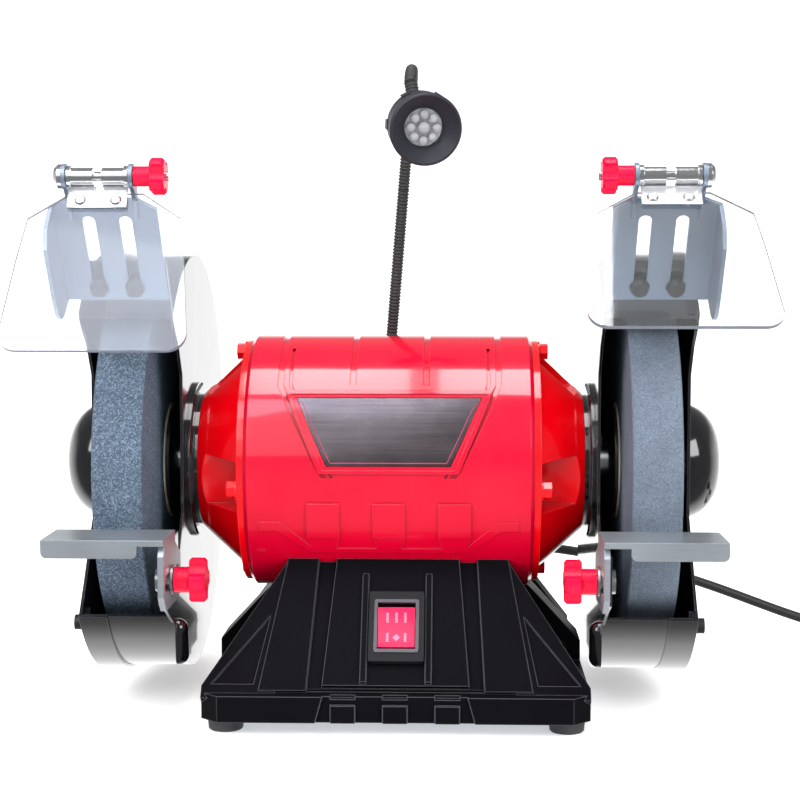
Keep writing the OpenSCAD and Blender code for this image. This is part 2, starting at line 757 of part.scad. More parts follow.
// Two round-headed rivets through the holder and the clear shield.
module shield_rivets(drop) {
    color("gainsboro") shield_frame(drop) for (x = rivet_x) translate([x, rivet_y, holder_z]) {
        translate([0, 0, -0.8]) cylinder(r1 = 2, r2 = 2.8, h = 0.8);
        translate([0, 0, -0.8]) cylinder(r = rivet_r, h = holder_t + lens_t + 1.8);
        translate([0, 0, holder_t + lens_t]) cylinder(r = 2.8, h = 1);
    }
}
module shield_rivets_left() { mirror([1, 0, 0]) shield_rivets(lens_drop_left); }
module shield_rivets_right() { shield_rivets(lens_drop_right); }

module eye_shield_left() { mirror([1, 0, 0]) eye_shield(lens_drop_left, lens_shift_left); }
module eye_shield_right() { eye_shield(lens_drop_right, 0); }

// Hand knob along X: the hub starts at 0 and the grip lies towards the motor.
// A cap of that thickness closes the bore; below 0 the bore goes right through.
module hand_knob(hub_r, hub_l, grip_r, grip_w, hole_r, cap) {
    difference() {
        union() {
            xcyl(hub_r, -hub_l, 0);
            difference() {
                xturn([[-hub_l - grip_w, 0], [-hub_l - grip_w, grip_r - 1.2], [-hub_l - grip_w + 1.2, grip_r],
                    [-hub_l - 1, grip_r], [-hub_l, grip_r - 1], [-hub_l, 0]]);
                for (i = [0:3]) rotate([i * 90 + 45, 0, 0])
                    xcyl(grip_r * 0.52, -hub_l - grip_w - 1, -hub_l + 1, grip_r * 1.12, 0);
            }
        }
        xcyl(hole_r, -hub_l - grip_w + cap, 1);
    }
}

module shield_knob() {
    color("red") spark_frame() translate([ear_in - play, rod_y, rod_z])
        hand_knob(4.8, 8, 9.2, 7.2, rod_r + fit, -1);
}
module shield_knob_left() { mirror([1, 0, 0]) shield_knob(); }
module shield_knob_right() { shield_knob(); }

// ---------- tool rests ----------

arm_x1 = guard_x - play;
arm_x0 = arm_x1 - rest_t;
rest_back = -sqrt(pow(wheel_r + rest_gap, 2) - rest_drop * rest_drop);
rest_front = rest_back - rest_d;
rest_slot = 34;
arm_low = 61;

module tool_rest() {
    color("lightsteelblue") on_axle() difference() {
        union() {
            translate([arm_x0, rest_front, -rest_drop - rest_t]) cube([rest_w, rest_d, rest_t]);
            // front lip, bent down
            translate([arm_x0 + 13, rest_front, 0]) rotate([90, 0, 0])
                translate([0, 0, -rest_t]) linear_extrude(rest_t) difference() {
                    translate([0, -rest_drop - rest_lip]) square([rest_w - 13, rest_lip]);
                    translate([-1, -rest_drop - rest_lip - 1]) square([4, 4]);
                    translate([rest_w - 16, -rest_drop - rest_lip - 1]) square([4, 4]);
                }
            for (x = [arm_x0 + 16, arm_x0 + rest_w - 3])
                translate([x, rest_front + rest_t, -rest_drop - rest_lip + 3]) rotate([90, 0, 0])
                    cylinder(r = 3, h = rest_t);
            // arm beside the guard
            yz_sheet([[rest_front + 6, -rest_drop - e], [rest_front, -rest_drop - 8], [rest_front, -arm_low + 8],
                [rest_front + 8, -arm_low], [-bolt_y + 24, -arm_low], [-bolt_y + 30, -arm_low + 6],
                [-bolt_y + 30, -rest_drop - 14], [rest_back, -rest_drop - 6], [rest_back, -rest_drop - e]],
                arm_x0, arm_x1);
        }
        translate([arm_x0 - 1, -bolt_y - 14, -bolt_drop]) rotate([90, 0, 90]) linear_extrude(rest_t + 2)
            rotate(-90) slot_shape(rest_slot, 2 * bush_r + 2 * play);
    }
}

bush_r = bolt_r + 1.2;
module tool_rest_left() { mirror([1, 0, 0]) tool_rest(); }
module tool_rest_right() { tool_rest(); }

// Flanged bush on the clamp bolt; it fills the slot and carries the rest.
collar_r = 7.5;
collar_t = 1.2;
module rest_bush() {
    color("silver") on_axle() difference() {
        union() {
            xcyl(bush_r, arm_x0 - play, arm_x1, -bolt_y, -bolt_drop);
            xcyl(collar_r, arm_x0 - play - collar_t, arm_x0 - play, -bolt_y, -bolt_drop);
        }
        xcyl(bolt_r + fit, arm_x0 - 5, arm_x1 + 1, -bolt_y, -bolt_drop);
    }
}
module rest_bush_left() { mirror([1, 0, 0]) rest_bush(); }
module rest_bush_right() { rest_bush(); }

rest_knob_x = arm_x0 - 2 * play - collar_t;
bolt_reach = 13;
bolt_head_r = 6;
module rest_knob() {
    color("red") on_axle() translate([rest_knob_x, -bolt_y, -bolt_drop])
        hand_knob(6.4, 7.5, 11, 8.5, bolt_r + fit, 2);
}
module rest_knob_left() { mirror([1, 0, 0]) rest_knob(); }
module rest_knob_right() { rest_knob(); }

module rest_bolts() {
    color("silver") both_sides() on_axle() {
        xcyl(bolt_r, rest_knob_x - bolt_reach, guard_x + sheet + 1, -bolt_y, -bolt_drop);
        xcyl(bolt_head_r, guard_x + sheet, guard_x + sheet + 2.5, -bolt_y, -bolt_drop);
    }
}

// ---------- base ----------

foot_x = base_w / 2 - base_wall - seat + foot_lap - foot_r;
foot_y = base_d / 2 - foot_inset;
saddle_y = 50;
saddle_z = axle_h - sqrt(barrel_r * barrel_r - saddle_y * saddle_y);
slope_y0 = base_d / 2 - 7;
slope_z0 = skirt_top + 1.5;
slope_len = sqrt(pow(slope_y0 - saddle_y, 2) + pow(saddle_z - slope_z0, 2));
slope_a = atan2(saddle_z - slope_z0, slope_y0 - saddle_y);

// Outline of the skirt, centred on the base.
function skirt_outline(g) = let (x = base_w / 2 - g, y = base_d / 2 - g, c = corner)
    [[-x, -y + c], [-x + c, -y], [x - c, -y], [x, -y + c], [x, y - c], [x - c, y], [-x + c, y], [-x, y - c]];

// Frame on the front slope: origin at its foot, y runs up the slope, z points out.
module on_slope() {
    translate([0, -slope_y0, slope_z0]) rotate([slope_a, 0, 0]) children();
}

// Core of the pedestal, moved inwards by g at its sides and by f at front and back.
module pedestal(g, f) {
    low = pedestal_w / 2 - g;
    top = neck_w / 2 - g;
    run = f / sin(slope_a);
    high = saddle_z + 8;
    intersection() {
        yz_sheet([[-slope_y0 + run, base_z], [-slope_y0 + run, slope_z0], [-saddle_y + run, saddle_z],
            [-saddle_y + run, high], [saddle_y - run, high], [saddle_y - run, saddle_z],
            [slope_y0 - run, slope_z0], [slope_y0 - run, base_z]], -base_w / 2, base_w / 2);
        xz_sheet([[-low, base_z], [-low, slope_z0], [-top, high], [top, high],
            [low, slope_z0], [low, base_z]], -base_d, base_d);
    }
}

// Panel on the slope, x_low wide at its foot and x_top wide at its head.
module slope_panel(x_low0, x_low1, x_top0, x_top1, y0, y1) {
    on_slope() translate([0, 0, -panel_h - 1]) linear_extrude(panel_h + 1)
        polygon([[x_low0, y0], [x_low1, y0], [x_top1, y1], [x_top0, y1]]);
}

mid_low = 37.5;
mid_top = 32;
side_low = [45.4, 69.8];
side_top = [41.7, 57.4];
wing_edge = [base_w / 2, 58];

// Panels of one slope: one in the middle, one at each side and the open wings.
module slope_face() {
    slope_panel(-mid_low, mid_low, -mid_top, mid_top, 3, slope_len + 6);
    for (s = [-1, 1]) {
        slope_panel(s * side_low[0], s * side_low[1], s * side_top[0], s * side_top[1], 0, slope_len + 6);
        wing(s);
    }
}

// Wing: a triangular web from the core's side to the corner of the skirt.
module wing(s) {
    on_slope() translate([0, 0, -panel_h - base_wall]) difference() {
        linear_extrude(panel_h + base_wall - 1) polygon([for (p = [[side_low[1] - 8, -4],
            [wing_edge[0], -4], [wing_edge[0], 3], [wing_edge[1], slope_len],
            [side_top[1] - 8, slope_len]]) [s * p[0], p[1]]]);
        translate([0, 0, base_wall + panel_h - 2.4]) linear_extrude(5)
            polygon([for (p = [[65.8, 43], [94, 4], [72.5, 4]]) [s * p[0], p[1]]]);
    }
}

// Side arm from the saddle down to the side of the skirt.
arm_half = 16;
module side_arm() {
    xz_sheet([[50, saddle_z - 4], [56, saddle_z - 6], [73, 60], [base_w / 2, 32], [base_w / 2, skirt_top - 1],
        [base_w / 2 - 8, skirt_top - 1], [base_w / 2 - 8, 29.5], [64, 54], [50, 62]], -arm_half, arm_half);
}

boss_r = 7;
recess_d = 1.8;
rib_x = 16.6;
block_w = 12.5;
block_pitch = 26.4;
switch_y = 0.46 * slope_len;
gland_x = 47.5;
gland_z = 60;
gland_y = 76;
gland_r = 6;
saddle_bolt_x = 35;

module base_shell() {
    color([0.07, 0.07, 0.08]) translate([base_shift, 0, 0]) difference() {
        union() {
            difference() {
                translate([0, 0, base_z]) linear_extrude(skirt_h) polygon(skirt_outline(0));
                translate([0, 0, base_z - e]) linear_extrude(skirt_h - base_wall)
                    polygon(skirt_outline(base_wall));
                front_recess();
            }
            pedestal(0, panel_h);
            slope_face();
            mirror([0, 1, 0]) slope_face();
            both_sides() side_arm();
            for (i = [-1:1]) front_block(i * block_pitch);
            switch_ribs();
            for (x = [-1, 1], y = [-1, 1]) {
                translate([x * bench_span_x / 2, y * bench_span_y / 2, base_z + plate_wall + seat])
                    cylinder(r = boss_r, h = skirt_h - plate_wall - seat - 1);
                translate([x * foot_x, y * foot_y, base_z + plate_wall + seat])
                    cylinder(r = boss_r, h = skirt_h - plate_wall - seat - 1);
            }
            translate([gland_x, gland_y, gland_z]) rotate([90, 0, 0]) cylinder(r = gland_r + 4, h = 12);
        }
        difference() {
            translate([0, 0, -e]) pedestal(base_wall, panel_h + base_wall);
            translate([-base_shift, 0, axle_h]) xcyl(barrel_r + base_wall + 1, -base_w, base_w);
        }
        translate([-base_shift, 0, axle_h]) xcyl(barrel_r + e, -base_w, base_w);
        translate([0, 0, base_z - e]) linear_extrude(plate_wall + seat + e) polygon(skirt_outline(base_wall));
        for (x = [-1, 1], y = [-1, 1]) {
            translate([x * bench_span_x / 2, y * bench_span_y / 2, 0]) cylinder(r = bench_hole_r, h = skirt_top + 1);
            translate([x * foot_x, y * foot_y, 0]) cylinder(r = foot_screw_r, h = skirt_top - 4);
        }
        on_slope() translate([0, switch_y, -14]) linear_extrude(20) square([cut_w, cut_h], center = true);
        translate([gland_x, gland_y + 1, gland_z]) rotate([90, 0, 0]) cylinder(r = gland_r, h = 40);
        for (x = [-1, 1]) translate([x * saddle_bolt_x - base_shift, 0, 40]) cylinder(r = saddle_bolt_r, h = 60);
        for (i = [-1:1]) upper_notch(i * block_pitch);
    }
}

// Recess in the middle of the skirt's front, with slanted ends.
module front_recess() {
    xz_sheet([[-42.5, 0], [-35, skirt_top + 6], [35, skirt_top + 6], [42.5, 0]],
        -base_d, -base_d / 2 + recess_d);
}

module front_block(x) {
    translate([x - block_w / 2, -base_d / 2, base_z]) cube([block_w, 4, 9]);
}

// Square notch above each block, in the foot of the slope.
module upper_notch(x) {
    translate([x - block_w / 2, -base_d / 2 - 1, base_z + skirt_h - base_wall + 1.5]) cube([block_w, 6.5, 12]);
}

module switch_ribs() {
    for (s = [-1, 1]) on_slope() translate([s * rib_x - 1.6, 4, -1]) cube([3.2, slope_len - 14, 3.4]);
}

plate_wall = 1.2;
foot_screw_r = 2;
saddle_bolt_r = 3;

module base_plate() {
    color("dimgray") translate([base_shift, 0, base_z]) difference() {
        linear_extrude(plate_wall) polygon(skirt_outline(base_wall + seat));
        for (x = [-1, 1], y = [-1, 1]) {
            translate([x * bench_span_x / 2, y * bench_span_y / 2, -1]) cylinder(r = bench_hole_r, h = 5);
            translate([x * foot_x, y * foot_y, -1]) cylinder(r = foot_screw_r, h = 5);
        }
    }
}

module rubber_feet() {
    color("dimgray") translate([base_shift, 0, 0]) for (x = [-1, 1], y = [-1, 1])
        translate([x * foot_x, y * foot_y, 0]) rotate_extrude()
            polygon([[foot_screw_r + 2.5, 0], [foot_r - 1.4, 0], [foot_r - 0.6, 0.8], [foot_r, foot_h],
                [foot_screw_r, foot_h], [foot_screw_r, 4], [foot_screw_r + 2.5, 4]]);
}

module base_screws() {
    color("silver") translate([base_shift, 0, 0]) for (x = [-1, 1], y = [-1, 1])
        translate([x * foot_x, y * foot_y, 0]) {
            translate([0, 0, 1.6]) cylinder(r = foot_screw_r + 2, h = 2.4);
            translate([0, 0, 2]) cylinder(r = foot_screw_r, h = skirt_top - 7);
        }
}

module saddle_bolts() {
    top = axle_h - stator_r - seat;
    seat_z = axle_h - barrel_r - base_wall - 1;
    color("silver") for (x = [-1, 1]) translate([x * saddle_bolt_x, 0, 0]) {
        translate([0, 0, seat_z - 4.5]) cylinder(r = 5.5, h = 4.5, $fn = 6);
        translate([0, 0, seat_z - 1]) cylinder(r = saddle_bolt_r, h = top - seat_z + 1);
    }
}

cap_r = 15;
cap_len = 62;
module run_capacitor() {
    color("silver") translate([base_shift - 40, -cap_len / 2 + 10, base_z + plate_wall + cap_r]) rotate([-90, 0, 0]) {
        cylinder(r = cap_r, h = cap_len);
        for (x = [-5, 5]) translate([x - 3, -0.4, -1]) cube([6, 0.8, cap_len + 9]);
    }
}

// ---------- switch ----------

cut_w = bezel_w - 4;
cut_h = bezel_h - 5;
rocker_pivot = -4;
seal_w = 1.8;
switch_depth = 16;

module on_switch() { translate([base_shift, 0, 0]) on_slope() translate([0, switch_y, 0]) children(); }

module switch_bezel() {
    color([0.14, 0.14, 0.15]) on_switch() difference() {
        union() {
            linear_extrude(bezel_t) round_rect(bezel_w, bezel_h, 1.2);
            translate([0, 0, -switch_depth]) linear_extrude(switch_depth + 1)
                square([cut_w - 2 * seat, cut_h - 2 * seat], center = true);
            for (x = [-6, 0, 6]) translate([x - 0.4, -3, -switch_depth - 8]) cube([0.8, 6, 9]);
        }
        translate([0, 0, -switch_depth + 2]) linear_extrude(switch_depth + bezel_t)
            square([rocker_w + 2 * play, rocker_h + 2 * play], center = true);
        translate([0, 0, bezel_t - 1.2]) linear_extrude(3)
            round_rect(rocker_w + 2 * play + 2 * seal_w, rocker_h + 2 * play + 2 * seal_w, 1.5);
        rocker_axle(seat / 2);
    }
}

// Clear seal frame round the rocker.
module switch_seal() {
    color([0.8, 0.82, 0.86, 0.6]) on_switch() translate([0, 0, bezel_t - 1.2]) linear_extrude(1.8) difference() {
        round_rect(rocker_w + 2 * play + 2 * seal_w, rocker_h + 2 * play + 2 * seal_w, 1.5);
        square([rocker_w + 2 * play, rocker_h + 2 * play], center = true);
    }
}

module rocker_axle(gap) {
    translate([0, 0, rocker_pivot]) xcyl(1.5 + gap, -rocker_w / 2 - 2 - gap, rocker_w / 2 + 2 + gap);
}

// Rocker with two sloping faces that meet over its axle.
module switch_rocker() {
    h = rocker_h / 2 - 1.2;
    up = bezel_t - rocker_pivot;
    color([0.9, 0.1, 0.2, 0.8]) on_switch() {
        translate([0, 0, rocker_pivot]) rotate([rocker_a, 0, 0])
            yz_sheet([[-h, up - 2.2], [-h * 0.9, up + 1.6], [0, up - 0.4], [h * 0.9, up + 1.6], [h, up - 2.2],
                [h * 0.55, -3], [-h * 0.55, -3]], -rocker_w / 2, rocker_w / 2);
        rocker_axle(0);
    }
}

// ---------- work lamp ----------

ball_r = 6;
socket_z = 60;
socket_r = 9.5;
lamp_x = -3;
up_len = 46;
bend_end = 140;

module lamp_frame() { on_axle() translate([lamp_x, lamp_y, socket_z]) rotate([0, lamp_lean, 0]) children(); }

module lamp_socket() {
    color([0.1, 0.1, 0.11]) on_axle() difference() {
        translate([lamp_x, lamp_y, 0]) union() {
            translate([0, 0, 40]) cylinder(r = socket_r + 2, h = socket_z - 50);
            translate([0, 0, 40]) cylinder(r = socket_r, h = socket_z - 40 + 3.5);
        }
        xcyl(barrel_r, -40, 40);
        translate([lamp_x, lamp_y, socket_z]) sphere(ball_r + play);
    }
}

module lamp_neck_lower() {
    color([0.2, 0.2, 0.2]) lamp_frame() difference() {
        union() {
            sphere(ball_r);
            cylinder(r = neck_tube_r, h = lamp_low - 1);
        }
        translate([0, 0, lamp_low]) sphere(neck_tube_r + play);
    }
}

module lamp_neck_upper() {
    color([0.2, 0.2, 0.2]) lamp_frame() translate([0, 0, lamp_low]) {
        sphere(neck_tube_r - seat);
        cylinder(r = neck_tube_r, h = up_len);
        translate([0, -lamp_bend, up_len]) rotate([90, 0, 90]) rotate_extrude(angle = bend_end)
            translate([lamp_bend, 0]) circle(neck_tube_r);
        translate(bend_tip()) sphere(neck_tube_r - seat);
    }
}

function bend_tip() = [0, -lamp_bend + lamp_bend * cos(bend_end), up_len + lamp_bend * sin(bend_end)];

// Tip of the neck in the axle's frame, and the centre of the head's back.
function tip() = let (b = bend_tip(), z = lamp_low + b[2])
    [lamp_x + z * sin(lamp_lean), lamp_y + b[1], socket_z + z * cos(lamp_lean)];
head_back = [5, -5, -24];
head_tilt = [90 + 14, 0, 12];

module at_head() { translate(tip() + head_back) rotate([0, 0, head_tilt[2]]) rotate([head_tilt[0], 0, 0]) children(); }

// Turns local z onto the vector v.
module along(v) {
    rotate([0, acos(v[2] / norm(v)), atan2(v[1], v[0])]) children();
}

module lamp_head() {
    stub_start = 3;
    color([0.16, 0.16, 0.18]) on_axle() difference() {
        union() {
            at_head() rotate_extrude() polygon([[0, 0], [head_r * 0.6, 0], [head_r * 0.86, 1.5],
                [head_r * 0.93, 3], [head_r * 0.93, 10], [head_r * 0.9, 10.6], [head_r * 0.97, 12],
                [head_r, head_len - 1], [head_r - 1, head_len], [head_r - 1.6, head_len],
                [lens_r_max + 0.5, head_len - 8], [0, head_len - 8]]);
            at_head() for (i = [0:5]) rotate([0, 0, i * 60])
                translate([head_r * 0.88, -2.5, 3.4]) cube([head_r * 0.1, 5, 6]);
            translate(tip()) along(head_back) translate([0, 0, stub_start])
                cylinder(r = neck_tube_r, h = norm(head_back) - stub_start);
        }
        translate(tip()) sphere(neck_tube_r + play);
        at_head() translate([0, 0, head_len - 12]) cylinder(r = lens_r_max, h = 12);
    }
}

lens_r_max = 10.6;
// Clear cluster of lamp lenses: one in the middle and a ring round it.
module lamp_lens() {
    n = 8;
    color([0.9, 0.93, 1, 0.6]) on_axle() at_head() translate([0, 0, head_len - 12]) {
        cylinder(r = lens_r_max - seat, h = 3);
        for (i = [0:n - 1]) rotate([0, 0, i * 360 / n]) translate([lens_r_max - 3.3, 0, 0]) led(2.7);
        led(3.4);
    }
}

module led(r) {
    cylinder(r = r, h = 5, $fn = 24);
    translate([0, 0, 5]) sphere(r, $fn = 24);
}

// ---------- cord ----------

gland_tail = 28;
exit = [gland_x + base_shift, gland_y + 2.5 + gland_tail, gland_z];
route = [exit, [52, 116, 60], [53.5, 126, 59.8], [58, 136.5, 59.4], [66, 146, 58.7], [78, 153.5, 57.5],
    [93, 158, 55.8], [110, 160, 53.4], [128, 160.5, 50.2], [146, 160.5, 46.4], [164, 160.5, 42],
    [182, 160.3, 37], [200, 160, 31.2], [217, 159.5, 25.2], [234, 158.8, 19], [250, 157.8, 13.4],
    [266, 156.4, 8.6], [282, 154.4, 5], [297, 152.2, 3.2]];
tail = [[354.2, 96, 8.2], [355, 88, 6.3], [356.5, 80, 4.6], [358, 72, 4.3]];
coil_at = [315, 111];
coil_mid = 11 * cord_r;

// Points of a ring of the tube round the route's point i.
function ring(p, i, r, n) = let (
    a = p[max(i - 1, 0)], b = p[min(i + 1, len(p) - 1)], t = (b - a) / norm(b - a),
    u = cross(t, [0, 0, 1]) / norm(cross(t, [0, 0, 1])), v = cross(u, t))
    [for (k = [0:n - 1]) p[i] + r * (cos(k * 360 / n) * u + sin(k * 360 / n) * v)];

// Tube of radius r swept along the points p with n sides.
module sweep(p, r, n) {
    m = len(p);
    polyhedron([for (i = [0:m - 1]) each ring(p, i, r, n)],
        concat([[for (k = [n - 1:-1:0]) k]], [[for (k = [0:n - 1]) (m - 1) * n + k]],
        [for (i = [0:m - 2], k = [0:n - 1]) [i * n + k, i * n + (k + 1) % n,
            (i + 1) * n + (k + 1) % n, (i + 1) * n + k]]));
}

module cord_gland() {
    color("black") translate([exit[0], gland_y, gland_z]) rotate([-90, 0, 0]) rotate_extrude()
        polygon([[0, -11.5], [gland_r - seat, -11.5], [gland_r - seat, 0], [gland_r + 2.5, 0],
            [gland_r + 2.5, 2.5], [cord_r + 2.2, 2.5], [cord_r + 1, 2.5 + gland_tail], [0, 2.5 + gland_tail]]);
}

module mains_cord() {
    color("black") {
        sweep(route, cord_r, 10);
        sweep(tail, cord_r, 10);
    }
}

module cord_coil() {
    layers = ceil(coil_turns / 3);
    h = 2 * cord_r * (1 + 0.87 * (layers - 1));
    w = 3 * cord_r;
    color("black") translate([coil_at[0], coil_at[1], 0]) rotate_extrude()
        polygon([[coil_mid - w + 1, 0], [coil_mid + w - 1, 0], [coil_mid + w, 1], [coil_mid + w, h - 2],
            [coil_mid + w - 2, h], [coil_mid - w + 2, h], [coil_mid - w, h - 2], [coil_mid - w, 1]]);
}

plug_tilt = 16.6;
plug_r = 18.5;
plug_face = 64;
pin_gap = 19;
module at_plug() { translate(tail[len(tail) - 1]) rotate([90 - plug_tilt, 0, 0]) children(); }

module mains_plug() {
    color("black") at_plug() difference() {
        rotate_extrude() polygon([[0, 0], [cord_r + 0.6, 0], [cord_r + 2.2, 13], [8, 18], [9.5, 27],
            [12.5, 36], [17, 46], [plug_r, 48], [plug_r, plug_face - 1], [plug_r - 1, plug_face], [0, plug_face]]);
        for (s = [-1, 1]) translate([-4, s * plug_r - 2, plug_face - 15]) cube([8, 4, 20]);
    }
}

module plug_pins() {
    color("silver") at_plug() for (s = [-1, 1]) translate([s * pin_gap / 2, 0, plug_face]) {
        cylinder(r = 2.4, h = 18);
        translate([0, 0, 18]) cylinder(r1 = 2.4, r2 = 1.4, h = 1);
    }
}

placed() base_shell();
placed() base_plate();
placed() base_screws();
placed() rubber_feet();
placed() saddle_bolts();
placed() motor_barrel();
placed() nameplate();
placed() end_bell_left();
placed() end_bell_right();
placed() bell_screws();
placed() stator_core();
placed() stator_windings();
placed() ball_bearings();
placed() run_capacitor();
placed() switch_bezel();
placed() switch_seal();
placed() switch_rocker();
placed() guard_left();
placed() guard_right();
placed() guard_cover_left();
placed() guard_cover_right();
placed() guard_cover_screws();
placed() guard_mount_screws();
placed() spark_screws();
placed() rest_bolts();
placed() shaft();
placed() rotor_core();
placed() wheel_left();
placed() wheel_right();
placed() wheel_flanges();
placed() wheel_blotters();
placed() shaft_nuts();
placed() spark_plate_left();
placed() spark_plate_right();
placed() shield_rod_left();
placed() shield_rod_right();
placed() shield_holder_left();
placed() shield_holder_right();
placed() shield_rivets_left();
placed() shield_rivets_right();
placed() eye_shield_left();
placed() eye_shield_right();
placed() shield_knob_left();
placed() shield_knob_right();
placed() rest_bush_left();
placed() rest_bush_right();
placed() tool_rest_left();
placed() tool_rest_right();
placed() rest_knob_left();
placed() rest_knob_right();
placed() lamp_socket();
placed() lamp_neck_lower();
placed() lamp_neck_upper();
placed() lamp_head();
placed() lamp_lens();
placed() cord_gland();
placed() mains_cord();
placed() cord_coil();
placed() mains_plug();
placed() plug_pins();
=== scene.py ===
"""Looks of a bench grinder: paint, plating, stone, plastic, the bendable lamp neck and the mains cord.

The file is laid out as an add-on. Sizes and colours are in the property groups, and each
operator dresses one group of pieces. Everything is in metres, in the frame of the solids.
"""
import json
import math

import bmesh
import bpy
from mathutils import Matrix, Vector


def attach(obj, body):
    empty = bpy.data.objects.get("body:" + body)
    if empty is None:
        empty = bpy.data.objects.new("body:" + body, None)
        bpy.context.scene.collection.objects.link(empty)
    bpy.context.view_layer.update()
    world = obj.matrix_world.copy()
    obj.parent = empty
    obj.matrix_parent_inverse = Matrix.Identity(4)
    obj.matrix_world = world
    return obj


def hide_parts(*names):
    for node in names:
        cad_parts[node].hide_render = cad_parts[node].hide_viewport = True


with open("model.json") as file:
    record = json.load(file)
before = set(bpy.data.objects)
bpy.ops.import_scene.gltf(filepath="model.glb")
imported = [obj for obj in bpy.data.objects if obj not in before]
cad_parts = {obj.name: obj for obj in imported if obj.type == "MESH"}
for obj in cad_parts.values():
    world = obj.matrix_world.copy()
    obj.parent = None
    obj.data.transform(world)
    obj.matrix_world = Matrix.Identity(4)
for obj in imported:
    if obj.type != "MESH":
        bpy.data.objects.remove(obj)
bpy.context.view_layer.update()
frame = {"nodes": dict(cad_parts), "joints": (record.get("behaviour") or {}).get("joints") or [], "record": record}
NODES = frame["nodes"]

bl_info = {
    "name": "Bench grinder looks",
    "version": (1, 0, 0),
    "blender": (4, 5, 0),
    "location": "3D View > Sidebar > Grinder",
    "description": "Dresses a bench grinder in paint, plating, stone and plastic",
    "category": "Object",
}

JOINT_AT = {j["name"]: Vector(j["pos_m"]) for j in frame["joints"] if "pos_m" in j}
# the shaft's axis, as the rotor's joint gives it
HOME_Y, AXLE_H = JOINT_AT["rotor_spin"].yz
BODY_OF = {n: b for b, ns in frame["record"]["behaviour"]["bodies"].items() for n in ns}
MM = 0.001
SIDES = ("_left", "_right")


# ---------- sizes and colours ----------

def size(name, text, value, low, high):
    """A length in metres."""
    return bpy.props.FloatProperty(name=name, description=text, default=value, min=low, max=high,
                                   subtype="DISTANCE", unit="LENGTH")


def tint(name, text, value):
    """A colour."""
    return bpy.props.FloatVectorProperty(name=name, description=text, default=value, size=3,
                                         subtype="COLOR", min=0, max=1)


def angle(name, text, degrees):
    """An angle, given in degrees."""
    return bpy.props.FloatProperty(name=name, description=text, default=math.radians(degrees),
                                   subtype="ANGLE", unit="ROTATION")


def bright(name, text, value, high=50):
    """A brightness or a strength of light."""
    return bpy.props.FloatProperty(name=name, description=text, default=value, min=0, max=high)


class GrinderSizes(bpy.types.PropertyGroup):
    home_y: size("Home", "How far the shaft runs behind the footprint's middle", HOME_Y, 0, 0.1)
    axle_h: size("Axle height", "Height of the shaft above the bench", AXLE_H, 0.1, 0.2)
    neck_r: size("Neck radius", "Outer radius of the lamp neck's ribs", 3.5 * MM, 0.002, 0.006)
    neck_pitch: size("Neck pitch", "Distance between two ribs of the lamp neck", 1.9 * MM, 0.001, 0.004)
    cord_r: size("Cord radius", "Radius of the mains cord", 3 * MM, 0.002, 0.005)
    plate_r: size("Plate radius", "Radius of the nameplate's curved face", 70.2 * MM, 0.06, 0.08)
    plate_high: size("Plate top", "Height of the nameplate's top edge above the shaft",
                     38.5 * MM, 0.03, 0.05)
    plate_low: size("Plate bottom", "Height of the nameplate's lower edge above the shaft",
                    4 * MM, 0, 0.01)
    plate_wide: size("Plate top width", "Width of the nameplate at its top", 96 * MM, 0.08, 0.11)
    plate_narrow: size("Plate lower width", "Width of the nameplate at its bottom", 64 * MM, 0.05, 0.08)


class GrinderColours(bpy.types.PropertyGroup):
    red: tint("Red paint", "Lacquer of the motor housing", (0.56, 0.0, 0.02))
    red_bell: tint("Bell paint", "Lacquer of the end bells", (0.82, 0.0, 0.004))
    red_plastic: tint("Red plastic", "Hand knobs", (0.70, 0.0, 0.032))
    rocker: tint("Rocker", "Tinted rocker of the switch", (0.72, 0.012, 0.09))
    black: tint("Black", "Castings and guards", (0.004, 0.0038, 0.0052))
    zinc: tint("Zinc", "Plated sheet of the spark plates", (0.26, 0.32, 0.41))
    rest: tint("Rest", "Plated sheet of the tool rests", (0.37, 0.405, 0.44))
    stone_left: tint("Left stone", "Coarse wheel", (0.070, 0.106, 0.155))
    stone_right: tint("Right stone", "Fine wheel", (0.118, 0.146, 0.189))
    lamp: tint("Lamp", "Lamp head and socket", (0.018, 0.018, 0.025))
    neck: tint("Neck", "Ribbed lamp neck", (0.03, 0.03, 0.03))


class StageSettings(bpy.types.PropertyGroup):
    azimuth: angle("Azimuth", "Camera's turn to the right", 1.8)
    elevation: angle("Elevation", "Camera's height as an angle", 4.3)
    distance: size("Distance", "From the camera to the shaft", 0.980, 0.5, 3)
    focal: bpy.props.FloatProperty(name="Focal length", description="Lens in millimetres",
                                   default=79.2, min=20, max=200)
    floor: tint("Floor", "Pale floor and backdrop", (0.9, 0.9, 0.9))
    backdrop: bright("Backdrop", "Brightness of the wall behind the grinder", 1.4, 5)
    glow: bright("Floor glow", "Light of the floor itself, which thins shadows", 0.5, 2)
    ambient: bright("Ambient", "Brightness of the rest of the room", 0.25, 5)
    fill: bright("Fill", "Strength of the shadowless light from above", 3.8, 20)
    key: bright("Key", "Brightness of the two side softboxes", 7.0)
    overhead: bright("Overhead", "Brightness of the two strips overhead", 9.0)
    front: bright("Front", "Brightness of the large box that the nameplate mirrors", 1.1)
    veil: bright("Veil", "Brightness of the box that the left shield mirrors", 4.0)


def sizes():
    return bpy.context.scene.grinder_sizes


def colours():
    return bpy.context.scene.grinder_colours


# ---------- shader groups ----------

def node(tree, kind, at=(0, 0), **values):
    made = tree.nodes.new(kind)
    made.location = at
    for key, value in values.items():
        setattr(made, key, value)
    return made


def feed(tree, source, target):
    tree.links.new(source, target)


def give(tree, socket, value):
    """Links a socket to another one, or sets it to a plain value."""
    if isinstance(value, bpy.types.NodeSocket):
        feed(tree, value, socket)
    else:
        socket.default_value = value


